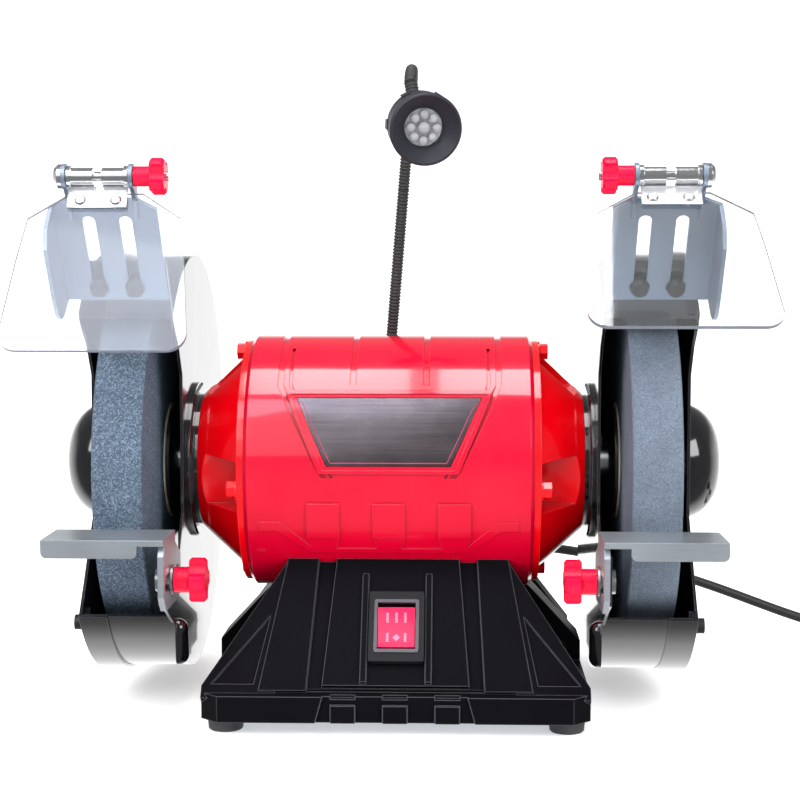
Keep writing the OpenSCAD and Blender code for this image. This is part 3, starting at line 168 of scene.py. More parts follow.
def put(made, **values):
    """Sets sockets by name; an underscore stands for a space."""
    for key, value in values.items():
        made.inputs[key.replace("_", " ")].default_value = value
    return made


def group(name, inputs, outputs):
    """A shader group with named sockets; inputs are (name, kind, default)."""
    tree = bpy.data.node_groups.new(name, "ShaderNodeTree")
    for label, kind, value in inputs:
        tree.interface.new_socket(label, in_out="INPUT", socket_type=kind).default_value = value
    for label, kind in outputs:
        tree.interface.new_socket(label, in_out="OUTPUT", socket_type=kind)
    return tree, node(tree, "NodeGroupInput", (-900, 0)), node(tree, "NodeGroupOutput", (900, 0))


F, C, V = "NodeSocketFloat", "NodeSocketColor", "NodeSocketVector"
M, R = "NodeSocketMaterial", "NodeSocketRotation"
SKIN = (("Colour", C), ("Roughness", F), ("Normal", V))
# Nearly all values of a noise texture lie in this range.
NOISE_RANGE = (0.3, 0.7)
# How far a groove's walls may stand apart for its bottom to get painted shade, and the occlusion from dark to
# clear.
GROOVE_SHADE_REACH, GROOVE_SHADE_RANGE = 0.003, (0.35, 0.85)
# Cosines between a rounded edge's normal and the flat one, from edge to face, over which the painted edge
# highlight fades out.
EDGE_HIGHLIGHT_RANGE = (0.82, 0.99)
# Shares of the random grains that turn dark and light, each from not at all to fully.
DARK_GRAINS, LIGHT_GRAINS = (0.6, 0.15), (0.62, 0.98)
# The darkest and lightest tone of the clouds on a stone, and the strength of its relief.
STONE_TONES, STONE_RELIEF = (0.86, 1.12), 0.8
# Noises, as patches per metre, detail and roughness: clouds of tone, changes of gloss, drawn lines.
PAINT_CLOUDS, PAINT_GLOSS, STONE_CLOUDS = (14, 3, 0.5), (38, 6, 0.65), (45, 3, 0.5)
METAL_LINES, METAL_CLOUDS, PLASTIC_CLOUDS = (900, 3, 0.7), (30, 4, 0.6), (60, 4, 0.6)


def noise(tree, where, scale, detail=2.0, rough=0.5, at=(0, 0)):
    made = put(node(tree, "ShaderNodeTexNoise", at), Detail=detail, Roughness=rough)
    give(tree, made.inputs["Scale"], scale)
    feed(tree, where, made.inputs["Vector"])
    return made.outputs["Fac"]


def spread(tree, value, low, high, source=NOISE_RANGE):
    """A value from the source range brought into the range from low to high."""
    made = node(tree, "ShaderNodeMapRange")
    ends = {"From Min": source[0], "From Max": source[1], "To Min": low, "To Max": high}
    for label, v in ends.items():
        give(tree, made.inputs[label], v)
    feed(tree, value, made.inputs["Value"])
    return made.outputs["Result"]


def calc(tree, how, a, b):
    """One step of arithmetic on plain values or sockets."""
    made = node(tree, "ShaderNodeMath", operation=how)
    for i, v in enumerate((a, b)):
        give(tree, made.inputs[i], v)
    return made.outputs[0]


def mix(tree, factor, a, b):
    """The colour a share of the way from a to b."""
    made = node(tree, "ShaderNodeMix", data_type="RGBA")
    for label, kind, v in (("Factor", "VALUE", factor), ("A", "RGBA", a), ("B", "RGBA", b)):
        give(tree, next(s for s in made.inputs if (s.name, s.type) == (label, kind)), v)
    return next(s for s in made.outputs if s.type == "RGBA")


def around_one(tree, share):
    """The two factors a share below one and a share above it."""
    return calc(tree, "SUBTRACT", 1, share), calc(tree, "ADD", 1, share)


def scaled(tree, colour, factor):
    """A colour times a factor."""
    made = node(tree, "ShaderNodeVectorMath", operation="SCALE")
    feed(tree, colour, made.inputs[0])
    feed(tree, factor, made.inputs["Scale"])
    return made.outputs[0]


def bump(tree, height, strength, distance, normal=None):
    made = node(tree, "ShaderNodeBump")
    give(tree, made.inputs["Strength"], strength)
    give(tree, made.inputs["Distance"], distance)
    feed(tree, height, made.inputs["Height"])
    if normal is not None:
        feed(tree, normal, made.inputs["Normal"])
    return made.outputs["Normal"]


def soft_edge(tree, a, samples=4):
    """The normal with every edge rounded off by the group's edge radius."""
    edge = node(tree, "ShaderNodeBevel", (-300, -500), samples=samples)
    feed(tree, a.outputs["Edge"], edge.inputs["Radius"])
    return edge.outputs["Normal"]


def lacquer_group():
    """Sprayed paint: a slow ripple, small changes of tone, painted shade in the grooves and painted highlights on
    the edges.
    """
    tree, a, z = group("Sprayed lacquer",
        [("Vector", V, (0, 0, 0)), ("Colour", C, (0.5, 0.5, 0.5, 1)), ("Tone", F, 0.06),
         ("Gloss low", F, 0.12), ("Gloss high", F, 0.24), ("Ripple", F, 220.0),
         ("Depth", F, 0.00003), ("Edge", F, 0.0006), ("Edge tint", C, (0.5, 0.5, 0.5, 1)),
         ("Edge share", F, 0.5), ("Groove", F, 0.5)], SKIN)
    slow = noise(tree, a.outputs["Vector"], *PAINT_CLOUDS, at=(-600, 200))
    # Painted shade: the colour darkens where the walls of a groove close in.
    corner = node(tree, "ShaderNodeAmbientOcclusion", (-600, 500), samples=6)
    put(corner, Distance=GROOVE_SHADE_REACH)
    groove_shade_mask = spread(tree, corner.outputs["AO"], 1, 0, source=GROOVE_SHADE_RANGE)
    deep = calc(tree, "MULTIPLY", groove_shade_mask, a.outputs["Groove"])
    clouded = calc(tree, "SUBTRACT", 1, calc(tree, "MULTIPLY", slow, a.outputs["Tone"]))
    toned = scaled(tree, a.outputs["Colour"], calc(tree, "SUBTRACT", clouded, deep))
    marks = noise(tree, a.outputs["Vector"], *PAINT_GLOSS, at=(-600, -100))
    feed(tree, spread(tree, marks, a.outputs["Gloss low"], a.outputs["Gloss high"]), z.inputs["Roughness"])
    edge = soft_edge(tree, a, samples=6)
    # Painted highlight: the colour turns towards the edge tint where the rounded normal leans away from the flat
    # one.
    turned = node(tree, "ShaderNodeVectorMath", (-100, -500), operation="DOT_PRODUCT")
    feed(tree, edge, turned.inputs[0])
    feed(tree, node(tree, "ShaderNodeNewGeometry", (-300, -700)).outputs["Normal"], turned.inputs[1])
    on_edge = spread(tree, turned.outputs["Value"], 1, 0, source=EDGE_HIGHLIGHT_RANGE)
    painted_edge_highlight = calc(tree, "MULTIPLY", on_edge, a.outputs["Edge share"])
    feed(tree, mix(tree, painted_edge_highlight, toned, a.outputs["Edge tint"]), z.inputs["Colour"])
    peel = noise(tree, a.outputs["Vector"], a.outputs["Ripple"], 1.0, at=(-600, -300))
    feed(tree, bump(tree, peel, 1.0, a.outputs["Depth"], edge), z.inputs["Normal"])
    return tree


def grit_group():
    """Bonded abrasive: grains of several tones, with pits between them."""
    tree, a, z = group("Abrasive grit",
        [("Vector", V, (0, 0, 0)), ("Colour", C, (0.2, 0.2, 0.2, 1)),
         ("Dark", C, (0.05, 0.06, 0.07, 1)), ("Light", C, (0.5, 0.55, 0.6, 1)),
         ("Grain", F, 1400.0), ("Contrast", F, 0.5), ("Depth", F, 0.0002)],
        [("Colour", C), ("Normal", V)])
    cells = node(tree, "ShaderNodeTexVoronoi", (-600, 100))
    feed(tree, a.outputs["Vector"], cells.inputs["Vector"])
    feed(tree, a.outputs["Grain"], cells.inputs["Scale"])
    part = node(tree, "ShaderNodeSeparateColor", (-400, 100))
    feed(tree, cells.outputs["Color"], part.inputs[0])
    darker = spread(tree, part.outputs[0], 0, 1, source=DARK_GRAINS)
    lighter = spread(tree, part.outputs[1], 0, 1, source=LIGHT_GRAINS)
    dark_share = calc(tree, "MULTIPLY", darker, a.outputs["Contrast"])
    light_share = calc(tree, "MULTIPLY", lighter, a.outputs["Contrast"])
    first = mix(tree, dark_share, a.outputs["Colour"], a.outputs["Dark"])
    second = mix(tree, light_share, first, a.outputs["Light"])
    cloud = spread(tree, noise(tree, a.outputs["Vector"], *STONE_CLOUDS), *STONE_TONES)
    feed(tree, scaled(tree, second, cloud), z.inputs["Colour"])
    height = calc(tree, "ADD", part.outputs[2], cells.outputs["Distance"])
    feed(tree, bump(tree, height, STONE_RELIEF, a.outputs["Depth"]), z.inputs["Normal"])
    return tree


def plated_group():
    """Plated or ground metal: long fine lines, slow clouds in the finish."""
    tree, a, z = group("Plated metal",
        [("Vector", V, (0, 0, 0)), ("Stretch", V, (1, 1, 1)), ("Colour", C, (0.5, 0.5, 0.5, 1)),
         ("Spread", F, 0.1), ("Gloss low", F, 0.25), ("Gloss high", F, 0.4), ("Lines", F, 0.00001),
         ("Edge", F, 0.0004)], SKIN)
    along = node(tree, "ShaderNodeVectorMath", (-700, 0), operation="MULTIPLY")
    feed(tree, a.outputs["Vector"], along.inputs[0])
    feed(tree, a.outputs["Stretch"], along.inputs[1])
    lines = noise(tree, along.outputs[0], *METAL_LINES, at=(-500, 200))
    clouds = noise(tree, a.outputs["Vector"], *METAL_CLOUDS, at=(-500, -100))
    both = calc(tree, "ADD", calc(tree, "MULTIPLY", lines, 0.5), calc(tree, "MULTIPLY", clouds, 0.5))
    shade = spread(tree, both, *around_one(tree, a.outputs["Spread"]))
    feed(tree, scaled(tree, a.outputs["Colour"], shade), z.inputs["Colour"])
    feed(tree, spread(tree, clouds, a.outputs["Gloss low"], a.outputs["Gloss high"]), z.inputs["Roughness"])
    relief = bump(tree, lines, 1.0, a.outputs["Lines"], soft_edge(tree, a))
    feed(tree, relief, z.inputs["Normal"])
    return tree


def moulded_group():
    """Moulded plastic and rubber: spark-eroded texture and a film of handling."""
    tree, a, z = group("Moulded skin",
        [("Vector", V, (0, 0, 0)), ("Colour", C, (0.1, 0.1, 0.1, 1)), ("Tone", F, 0.1),
         ("Gloss low", F, 0.35), ("Gloss high", F, 0.5), ("Grain", F, 2500.0), ("Depth", F, 0.00002),
         ("Edge", F, 0.0004)], SKIN)
    slow = noise(tree, a.outputs["Vector"], *PLASTIC_CLOUDS, at=(-600, 200))
    shade = spread(tree, slow, *around_one(tree, a.outputs["Tone"]))
    feed(tree, scaled(tree, a.outputs["Colour"], shade), z.inputs["Colour"])
    feed(tree, spread(tree, slow, a.outputs["Gloss low"], a.outputs["Gloss high"]), z.inputs["Roughness"])
    skin = noise(tree, a.outputs["Vector"], a.outputs["Grain"], at=(-600, -300))
    grained = bump(tree, skin, 1.0, a.outputs["Depth"], soft_edge(tree, a))
    feed(tree, grained, z.inputs["Normal"])
    return tree


# ---------- materials ----------

# A pit's colour as shares of the stone's, its depth in grains, and the colour of the bright grains.
PIT_SHARES, PIT_DEPTH, BRIGHT_GRAIN = (0.25, 0.28, 0.32), 0.6, (0.24, 0.30, 0.38, 1)


def rgba(colour):
    """A colour with full opacity; a word stands for one of the panel's colours."""
    return (*(getattr(colours(), colour) if isinstance(colour, str) else colour), 1)


def pits(colour):
    """The colour of a stone's pits."""
    return (*(c * share for c, share in zip(colour, PIT_SHARES)), 1)


def lacquer(name, colour, tone, low, high, ripple, depth, edge, edge_highlight_tint, share, groove_shade, **shader):
    """Paint: its change of tone, gloss from low to high, ripples and their depth, edges with their painted
    highlight, and the painted shade in grooves.
    """
    return "lacquer", name, colour, dict(
        Tone=tone, Gloss_low=low, Gloss_high=high, Ripple=ripple, Depth=depth, Edge=edge,
        Edge_tint=rgba(edge_highlight_tint), Edge_share=share, Groove=groove_shade), shader


def red_paint(name, colour):
    # The pink tint on the edges is a painted highlight, and the last value is the painted shade in grooves.
    return lacquer(name, colour, 0.10, 0.14, 0.24, 160.0, 0.00003, 0.0008, (0.95, 0.05, 0.1), 0.35, 0.3,
                   Coat_Weight=0.8, Coat_Roughness=0.05, Specular_IOR_Level=0.3)


def stone(name, colour, grain, contrast):
    """Bonded abrasive: grains per metre and how much their tones differ."""
    return "grit", name, colour, dict(Dark=pits, Light=BRIGHT_GRAIN, Grain=grain, Contrast=contrast,
                                      Depth=PIT_DEPTH / grain), dict(Roughness=0.85)


def metal(name, colour, stretch, tone, low, high, lines, metallic, edge=0.0004):
    """Metal: how lines are drawn out along X, change of tone, gloss from low to high, depth of the lines."""
    return "plated", name, colour, dict(Stretch=(stretch, 1, 1), Spread=tone, Gloss_low=low, Gloss_high=high,
                                        Lines=lines, Edge=edge), dict(Metallic=metallic)


def sheet_metal(name, colour):
    return metal(name, colour, 0.05, 0.10, 0.30, 0.42, 0.000004, 0.75, 0.0006)


def moulded(name, colour, tone, low, high, grain, depth, edge, **shader):
    """Moulded skin: change of tone, gloss from low to high, grains and their depth, the edges' radius."""
    return "moulded", name, colour, dict(Tone=tone, Gloss_low=low, Gloss_high=high, Grain=grain,
                                         Depth=depth, Edge=edge), shader


def plastic(name, colour, low, high, edge=0.0004, shine=0.3):
    """Plain plastic or rubber."""
    return moulded(name, colour, 0.12, low, high, 2200.0, 0.00002, edge, Specular_IOR_Level=shine)


# Every look's effect, name, colour, settings of the effect and settings of the Principled node.
LOOKS = {
    "red": red_paint("red_lacquer", "red"),
    "red_bell": red_paint("red_bell_lacquer", "red_bell"),
    # The grey tints on these black edges are painted highlights, and the last value of each is the painted shade
    # in grooves.
    "casting": lacquer("black_casting", "black", 0.3, 0.3, 0.4, 700.0, 0.00005, 0.0009,
                       (0.14, 0.14, 0.16), 0.6, 0.5, Specular_IOR_Level=0.02),
    "gloss": lacquer("black_gloss", "black", 0.3, 0.10, 0.18, 120.0, 0.00002, 0.0006,
                     (0.12, 0.12, 0.14), 0.6, 0.5, Coat_Weight=0.8, Coat_Roughness=0.03),
    "plate": metal("black_nameplate", (0.20, 0.175, 0.195), 0.02, 0.35, 0.2, 0.3, 0.00001, 1.0, 0.0003),
    "zinc": sheet_metal("zinc_sheet", "zinc"),
    "rest": sheet_metal("rest_sheet", "rest"),
    "steel": metal("bright_steel", (0.55, 0.55, 0.56), 0.05, 0.12, 0.2, 0.34, 0.000006, 1.0),
    "dark": metal("dark_steel", (0.08, 0.08, 0.085), 1, 0.3, 0.3, 0.5, 0.000006, 0.9),
    "chrome": metal("chrome", (0.74, 0.75, 0.77), 0.05, 0.04, 0.13, 0.22, 0.000001, 1.0, 0.0003),
    "oxide": metal("black_oxide", (0.02, 0.02, 0.022), 1, 0.3, 0.3, 0.5, 0.000004, 0.3),
    "holder": metal("holder_plate", (0.86, 0.87, 0.9), 0.05, 0.04, 0.1, 0.2, 0.000001, 0.75, 0.0003),
    "lamination": metal("lamination", (0.2, 0.21, 0.22), 1, 0.15, 0.4, 0.55, 0.000005, 0.9),
    "copper": metal("winding_copper", (0.55, 0.22, 0.1), 1, 0.15, 0.25, 0.4, 0.000005, 0.9),
    "can": metal("capacitor_can", (0.6, 0.61, 0.63), 1, 0.15, 0.3, 0.42, 0.000005, 1.0),
    "brass": metal("pin_brass", (0.65, 0.5, 0.22), 1, 0.15, 0.16, 0.28, 0.000005, 1.0),
    "stone_left": stone("stone_coarse", "stone_left", 1600.0, 0.65),
    "stone_right": stone("stone_fine", "stone_right", 2300.0, 0.42),
    "knob": moulded("red_knob", "red_plastic", 0.05, 0.22, 0.32, 1200.0, 0.00001, 0.0006,
                    Subsurface_Weight=0.08, Specular_IOR_Level=0.25),
    "rocker": moulded("rocker_plastic", "rocker", 0.05, 0.12, 0.2, 800.0, 0.00001, 0.0003,
                      Transmission_Weight=0.35, IOR=1.49, Coat_Weight=0.4),
    "clear": moulded("clear_sheet", (0.96, 0.98, 1.0), 0.01, 0.01, 0.05, 60.0, 0.000002, 0.0001,
                     Transmission_Weight=1.0, IOR=1.49),
    # the clear sheet's cut edge, which gathers light
    "clear_edge": moulded("clear_edge", (0.12, 0.13, 0.16), 0.05, 0.3, 0.45, 900.0, 0.00001, 0.0001,
                          Transmission_Weight=0.1, IOR=1.49),
    "lens": moulded("lens_clear", (0.85, 0.87, 0.92), 0.03, 0.05, 0.12, 900.0, 0.00002, 0.0001,
                    Transmission_Weight=0.7, IOR=1.45),
    "seal": moulded("seal_clear", (0.12, 0.11, 0.13), 0.03, 0.12, 0.2, 900.0, 0.00001, 0.0002,
                    Transmission_Weight=0.3, IOR=1.3),
    "bezel": plastic("switch_bezel", (0.01, 0.01, 0.012), 0.38, 0.5, shine=0.12),
    "lamp": plastic("lamp_plastic", "lamp", 0.42, 0.55),
    "neck": plastic("neck_skin", "neck", 0.45, 0.6, 0.0002),
    "rubber": plastic("black_rubber", (0.014, 0.014, 0.014), 0.55, 0.75),
    "feet": plastic("foot_rubber", (0.05, 0.05, 0.055), 0.6, 0.8),
    "cord": plastic("cord_skin", (0.02, 0.02, 0.021), 0.36, 0.46, 0.0001),
    "plug": plastic("plug_plastic", (0.012, 0.012, 0.013), 0.35, 0.5),
    "mark": plastic("mark_pink", (0.75, 0.14, 0.22), 0.3, 0.4, 0.0001),
    "line": plastic("plate_line", (0.35, 0.04, 0.09), 0.3, 0.4, 0.0001),
    "blotter": plastic("blotter_paper", (0.5, 0.44, 0.34), 0.8, 0.9),
}
EFFECTS = {"lacquer": lacquer_group, "grit": grit_group, "plated": plated_group, "moulded": moulded_group}
GROUPS, MATERIALS = {}, {}


def new_material(name):
    """A new material and its Principled node."""
    made = bpy.data.materials.new(name)
    made.use_nodes = True
    return made, next(n for n in made.node_tree.nodes if n.type == "BSDF_PRINCIPLED")


def material(look):
    """A look's material, made at its first use: a shared effect gives its colour, gloss and normal."""
    if look in MATERIALS:
        return MATERIALS[look]
    effect, name, colour, settings, shader = LOOKS[look]
    if effect not in GROUPS:
        GROUPS[effect] = EFFECTS[effect]()
    made, skin = new_material(name)
    put(skin, **shader)
    tree = made.node_tree
    where = node(tree, "ShaderNodeTexCoord", (-900, 0))
    surface = node(tree, "ShaderNodeGroup", (-400, 0), node_tree=GROUPS[effect])
    put(surface, Colour=rgba(colour))
    for key, value in settings.items():
        put(surface, **{key: value(rgba(colour)) if callable(value) else value})
    feed(tree, where.outputs["Object"], surface.inputs["Vector"])
    for label, target in (("Colour", "Base Color"), ("Roughness", "Roughness"), ("Normal", "Normal")):
        if label in surface.outputs:
            feed(tree, surface.outputs[label], skin.inputs[target])
    MATERIALS[look] = made
    return made


# ---------- meshes ----------

# Corners nearer than this, in metres, become one. Edges sharper than these angles, in degrees, stay sharp.
WELD = 2e-6
SOLID_SHARP, RIB_SHARP = 32, 60


def wear(obj, look):
    """Gives an object one material."""
    obj.data.materials.clear()
    obj.data.materials.append(material(look))
    return obj


def linked(name, data):
    """A new object in the scene."""
    obj = bpy.data.objects.new(name, data)
    bpy.context.scene.collection.objects.link(obj)
    return obj


def smooth(mesh, degrees):
    """Smooth shading with sharp edges from an angle on."""
    mesh.shade_smooth()
    mesh.set_sharp_from_angle(angle=math.radians(degrees))


def rounded(node_name, look):
    """A merged copy of a solid with smooth shading up to an angle; it stands for the solid."""
    mesh = NODES[node_name].data.copy()
    mesh.name = node_name + "_skin"
    work = bmesh.new()
    work.from_mesh(mesh)
    bmesh.ops.remove_doubles(work, verts=work.verts, dist=WELD)
    work.to_mesh(mesh)
    work.free()
    for attribute in [a for a in mesh.attributes if a.name == "custom_normal"]:
        mesh.attributes.remove(attribute)
    smooth(mesh, SOLID_SHARP)
    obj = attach(wear(linked(node_name + "_skin", mesh), look), BODY_OF[node_name])
    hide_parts(node_name)
    return obj


def second_look(mesh, look, chosen):
    """Gives the chosen faces of a mesh another material."""
    mesh.materials.append(material(look))
    for face in mesh.polygons:
        face.material_index = int(chosen(face))


# ---------- geometry nodes ----------

def applied(name, mesh, tree, values, body):
    """Runs a geometry tree on a mesh and keeps the result as a plain mesh that rides on a body."""
    obj = linked(name, mesh)
    modifier = obj.modifiers.new("shape", "NODES")
    modifier.node_group = tree
    keys = {s.name: s.identifier for s in tree.interface.items_tree
            if s.item_type == "SOCKET" and s.in_out == "INPUT"}
    for label, value in values.items():
        modifier[keys[label]] = value
    bpy.context.view_layer.update()
    result = bpy.data.meshes.new_from_object(obj.evaluated_get(bpy.context.evaluated_depsgraph_get()))
    obj.modifiers.remove(modifier)
    obj.data = result
    result.name = name
    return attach(obj, body)


# Points along the ribbed tube for each rib, and around it.
STEPS_PER_RIB, AROUND = 6.0, 20


def geometry_tree(name, inputs):
    """A geometry tree with named inputs, which are (name, kind, default or None)."""
    tree = bpy.data.node_groups.new(name, "GeometryNodeTree")
    tree.interface.new_socket("Geometry", in_out="INPUT", socket_type="NodeSocketGeometry")
    for label, kind, value in inputs:
        socket = tree.interface.new_socket(label, in_out="INPUT", socket_type=kind)
        if value is not None:
            socket.default_value = value
    tree.interface.new_socket("Geometry", in_out="OUTPUT", socket_type="NodeSocketGeometry")
    return tree, node(tree, "NodeGroupInput", (-1000, 0)), node(tree, "NodeGroupOutput", (1000, 0))


def dressed(tree, shape, a, z):
    """Ends a tree: makes its instances real and gives the whole its material."""
    whole = node(tree, "GeometryNodeRealizeInstances", (400, 0))
    feed(tree, shape, whole.inputs["Geometry"])
    skin = node(tree, "GeometryNodeSetMaterial", (600, 0))
    feed(tree, whole.outputs["Geometry"], skin.inputs["Geometry"])
    feed(tree, a.outputs["Material"], skin.inputs["Material"])
    feed(tree, skin.outputs["Geometry"], z.inputs["Geometry"])


def ribbed_tube_tree():
    """Sweeps a tube along a line and swells it into ribs a pitch apart."""
    tree, a, z = geometry_tree("Ribbed tube", [("Radius", F, 0.0035), ("Depth", F, 0.0005),
                                               ("Pitch", F, 0.002), ("Material", M, None)])
    curve = node(tree, "GeometryNodeMeshToCurve", (-800, 100))
    feed(tree, a.outputs["Geometry"], curve.inputs["Mesh"])
    again = node(tree, "GeometryNodeResampleCurve", (-600, 100), mode="LENGTH")
    feed(tree, curve.outputs["Curve"], again.inputs["Curve"])
    feed(tree, calc(tree, "DIVIDE", a.outputs["Pitch"], STEPS_PER_RIB), again.inputs["Length"])
    along = node(tree, "GeometryNodeSplineParameter", (-600, -200))
    turn = calc(tree, "MULTIPLY", calc(tree, "DIVIDE", along.outputs["Length"], a.outputs["Pitch"]), math.tau)
    wave = node(tree, "ShaderNodeMath", operation="COSINE")
    feed(tree, turn, wave.inputs[0])
    half = calc(tree, "MULTIPLY", a.outputs["Depth"], 0.5)
    swell = calc(tree, "MULTIPLY", calc(tree, "SUBTRACT", wave.outputs[0], 1.0), half)
    radius = calc(tree, "ADD", a.outputs["Radius"], swell)
    ring = node(tree, "GeometryNodeCurvePrimitiveCircle", (-300, -200))
    put(ring, Resolution=AROUND, Radius=1.0)
    tube = node(tree, "GeometryNodeCurveToMesh", (0, 0))
    feed(tree, again.outputs["Curve"], tube.inputs["Curve"])
    feed(tree, ring.outputs["Curve"], tube.inputs["Profile Curve"])
    feed(tree, radius, tube.inputs["Scale"])
    put(tube, Fill_Caps=True)
    dressed(tree, tube.outputs["Mesh"], a, z)
    return tree


def bars_tree():
    """Puts a small bar, as wide, deep and high as asked, on every point of the input."""
    tree, a, z = geometry_tree("Bars on points", [("Width", F, 0.001), ("Length", F, 0.005),
                                                  ("Height", F, 0.0002), ("Turn", R, None),
                                                  ("Material", M, None)])
    joined = node(tree, "ShaderNodeCombineXYZ", (-600, -100))
    for label, axis in (("Width", "X"), ("Length", "Y"), ("Height", "Z")):
        feed(tree, a.outputs[label], joined.inputs[axis])
    bar = node(tree, "GeometryNodeMeshCube", (-400, -100))
    feed(tree, joined.outputs[0], bar.inputs["Size"])
    each = node(tree, "GeometryNodeInstanceOnPoints", (-100, 0))
    feed(tree, a.outputs["Geometry"], each.inputs["Points"])
    feed(tree, bar.outputs["Mesh"], each.inputs["Instance"])
    feed(tree, a.outputs["Turn"], each.inputs["Rotation"])
    dressed(tree, each.outputs["Instances"], a, z)
    return tree


def line_mesh(name, points):
    """A mesh of one open line through the points."""
    mesh = bpy.data.meshes.new(name)
    mesh.from_pydata([tuple(p) for p in points], [(i, i + 1) for i in range(len(points) - 1)], [])
    return mesh


# ---------- operators ----------

# Width of the camera's sensor in millimetres, and how far its axis passes from the shaft, in metres.
SENSOR = 36
AIM_RIGHT, AIM_UP = 0.0039, 0.0331
FLOOR_HALF = 8
# The point that softboxes face, and the way the overhead strips shine.
LIT_POINT, DOWN = Vector((0, 0.05, 0.16)), Vector((0, 0.14, -1))
WHITE, SKY = (1, 1, 1), (0.74, 0.81, 1)
# Every softbox: name, place, width, height, the setting that gives its brightness, way and colour.
SOFTBOXES = (
    ("key_left", (-0.95, -1.05, 0.95), 0.7, 0.8, "key", None, WHITE),
    ("key_right", (1.0, -1.05, 0.85), 0.7, 0.8, "key", None, WHITE),
    ("strip_left", (-0.12, -0.18, 1.35), 0.2, 0.65, "overhead", DOWN, WHITE),
    ("strip_right", (0.11, -0.18, 1.35), 0.19, 0.65, "overhead", DOWN, WHITE),
    ("shield_light", (-0.38, -0.83, 1.33), 0.45, 0.45, "veil", None, SKY),
    ("front_left", (-0.28, -1.02, 0.85), 0.5, 1.2, "front", None, WHITE),
)
# Where the white wall sets in behind the grinder and where it ends above, as parts of a direction.
WALL_BACK, WALL_TOP = (0.0, 0.35), (0.1, 0.4)
# Direction of the shadowless light, and how wide it is in degrees.
FILL_WAY, FILL_WIDE = Vector((0, 0.4, -1)), 100


class OBJECT_OT_grinder_stage(bpy.types.Operator):
    """Makes the camera, the pale floor and the soft studio light"""
    bl_idname = "object.grinder_stage"
    bl_label = "Stage"

    def execute(self, context):
        s, g = context.scene.grinder_stage, sizes()
        a, e = s.azimuth, s.elevation
        right = Vector((math.cos(a), math.sin(a), 0))
        ahead = Vector((-math.sin(a) * math.cos(e), math.cos(a) * math.cos(e), -math.sin(e)))
        up = right.cross(ahead)
        camera = linked("camera", bpy.data.cameras.new("camera"))
        camera.data.lens = s.focal
        camera.data.sensor_width = SENSOR
        axle = Vector((0, g.home_y, g.axle_h))
        place = axle + AIM_RIGHT * right + AIM_UP * up - s.distance * ahead
        turn = Matrix((right, up, -ahead)).transposed().to_4x4()
        camera.matrix_world = Matrix.Translation(place) @ turn
        camera.data.clip_start, camera.data.clip_end = 0.05, 50
        context.scene.camera = camera

        mesh = bpy.data.meshes.new("floor")
        corners = [(x * FLOOR_HALF, y * FLOOR_HALF, 0) for x, y in ((-1, -1), (1, -1), (1, 1), (-1, 1))]
        mesh.from_pydata(corners, [], [(0, 1, 2, 3)])
        floor = linked("floor", mesh)
        pale, skin = new_material("pale_floor")
        put(skin, Base_Color=rgba(s.floor), Roughness=0.8, Specular_IOR_Level=0.1,
            Emission_Color=rgba(s.floor), Emission_Strength=s.glow)
        mesh.materials.append(pale)
        floor.visible_glossy = False
        self.surround(s)

        for name, at, wide, high, setting, way, colour in SOFTBOXES:
            self.softbox(name, at, wide, high, getattr(s, setting), way, colour)
        context.scene.view_settings.view_transform = "Standard"
        return {"FINISHED"}

    def surround(self, s):
        """A dim room with a white wall behind, so that glossy black stays black before a white ground."""
        world = bpy.data.worlds.new("studio")
        world.use_nodes = True
        tree = world.node_tree
        back = next(n for n in tree.nodes if n.type == "BACKGROUND")
        put(back, Color=(1, 1, 1, 1))
        part = node(tree, "ShaderNodeSeparateXYZ", (-600, 0))
        feed(tree, node(tree, "ShaderNodeTexCoord", (-800, 0)).outputs["Generated"], part.inputs[0])
        behind = spread(tree, part.outputs["Y"], 0, 1, source=WALL_BACK)
        low_down = spread(tree, part.outputs["Z"], 1, 0, source=WALL_TOP)
        seen = node(tree, "ShaderNodeLightPath", (-600, -300)).outputs["Is Camera Ray"]
        wall = calc(tree, "MAXIMUM", calc(tree, "MULTIPLY", behind, low_down), seen)
        feed(tree, spread(tree, wall, s.ambient, s.backdrop, source=(0, 1)), back.inputs["Strength"])
        bpy.context.scene.world = world

        fill = self.light("fill", "SUN", FILL_WAY)
        fill.data.energy, fill.data.angle = s.fill, math.radians(FILL_WIDE)
        fill.visible_glossy = False

    def light(self, name, kind, facing):
        """A new lamp that shines in a direction."""
        lamp = linked(name, bpy.data.lights.new(name, kind))
        lamp.rotation_mode = "QUATERNION"
        lamp.rotation_quaternion = facing.to_track_quat("-Z", "Y")
        return lamp

    def softbox(self, name, at, width, height, radiance, way, colour):
        """An area light of a given brightness that shines a given way, or else at the grinder."""
        lamp = self.light(name, "AREA", way or LIT_POINT - Vector(at))
        lamp.data.shape, lamp.data.size, lamp.data.size_y = "RECTANGLE", width, height
        lamp.data.energy, lamp.data.color = radiance * math.pi * width * height, colour
        lamp.location = at


# Points of the cord's way, in millimetres with the shaft over y = 0: relief to coil, and coil to plug.
ROUTE = [(52, 106.5, 60), (52, 116, 60), (53.5, 126, 59.8), (58, 136.5, 59.4), (66, 146, 58.7),
         (78, 153.5, 57.5), (93, 158, 55.8), (110, 160, 53.4), (128, 160.5, 50.2), (146, 160.5, 46.4),
         (164, 160.5, 42), (182, 160.3, 37), (200, 160, 31.2), (217, 159.5, 25.2), (234, 158.8, 19),
         (250, 157.8, 13.4), (266, 156.4, 8.6), (282, 154.4, 5), (297, 152.2, 3.2)]
TAIL = [(354.2, 96, 8.2), (355, 88, 6.3), (356.5, 80, 4.6), (358, 72, 4.3)]
# The coil's middle, the radius of its middle turn in cord radii, its whole turns, and the points on each.
COIL = (315, 111)
COIL_RADII = 11
WHOLE_TURNS, PER_TURN = 4, 24
# Shares of a turn: where the cord starts to roll over the one below, where it starts to move to the next
# turn, and how long either takes. A cord that lies between two others leans on each by this many degrees.
ROLL_AT, SHIFT_AT, SHIFT_LONG = 0.4, 0.7, 0.3
STACKED = 60


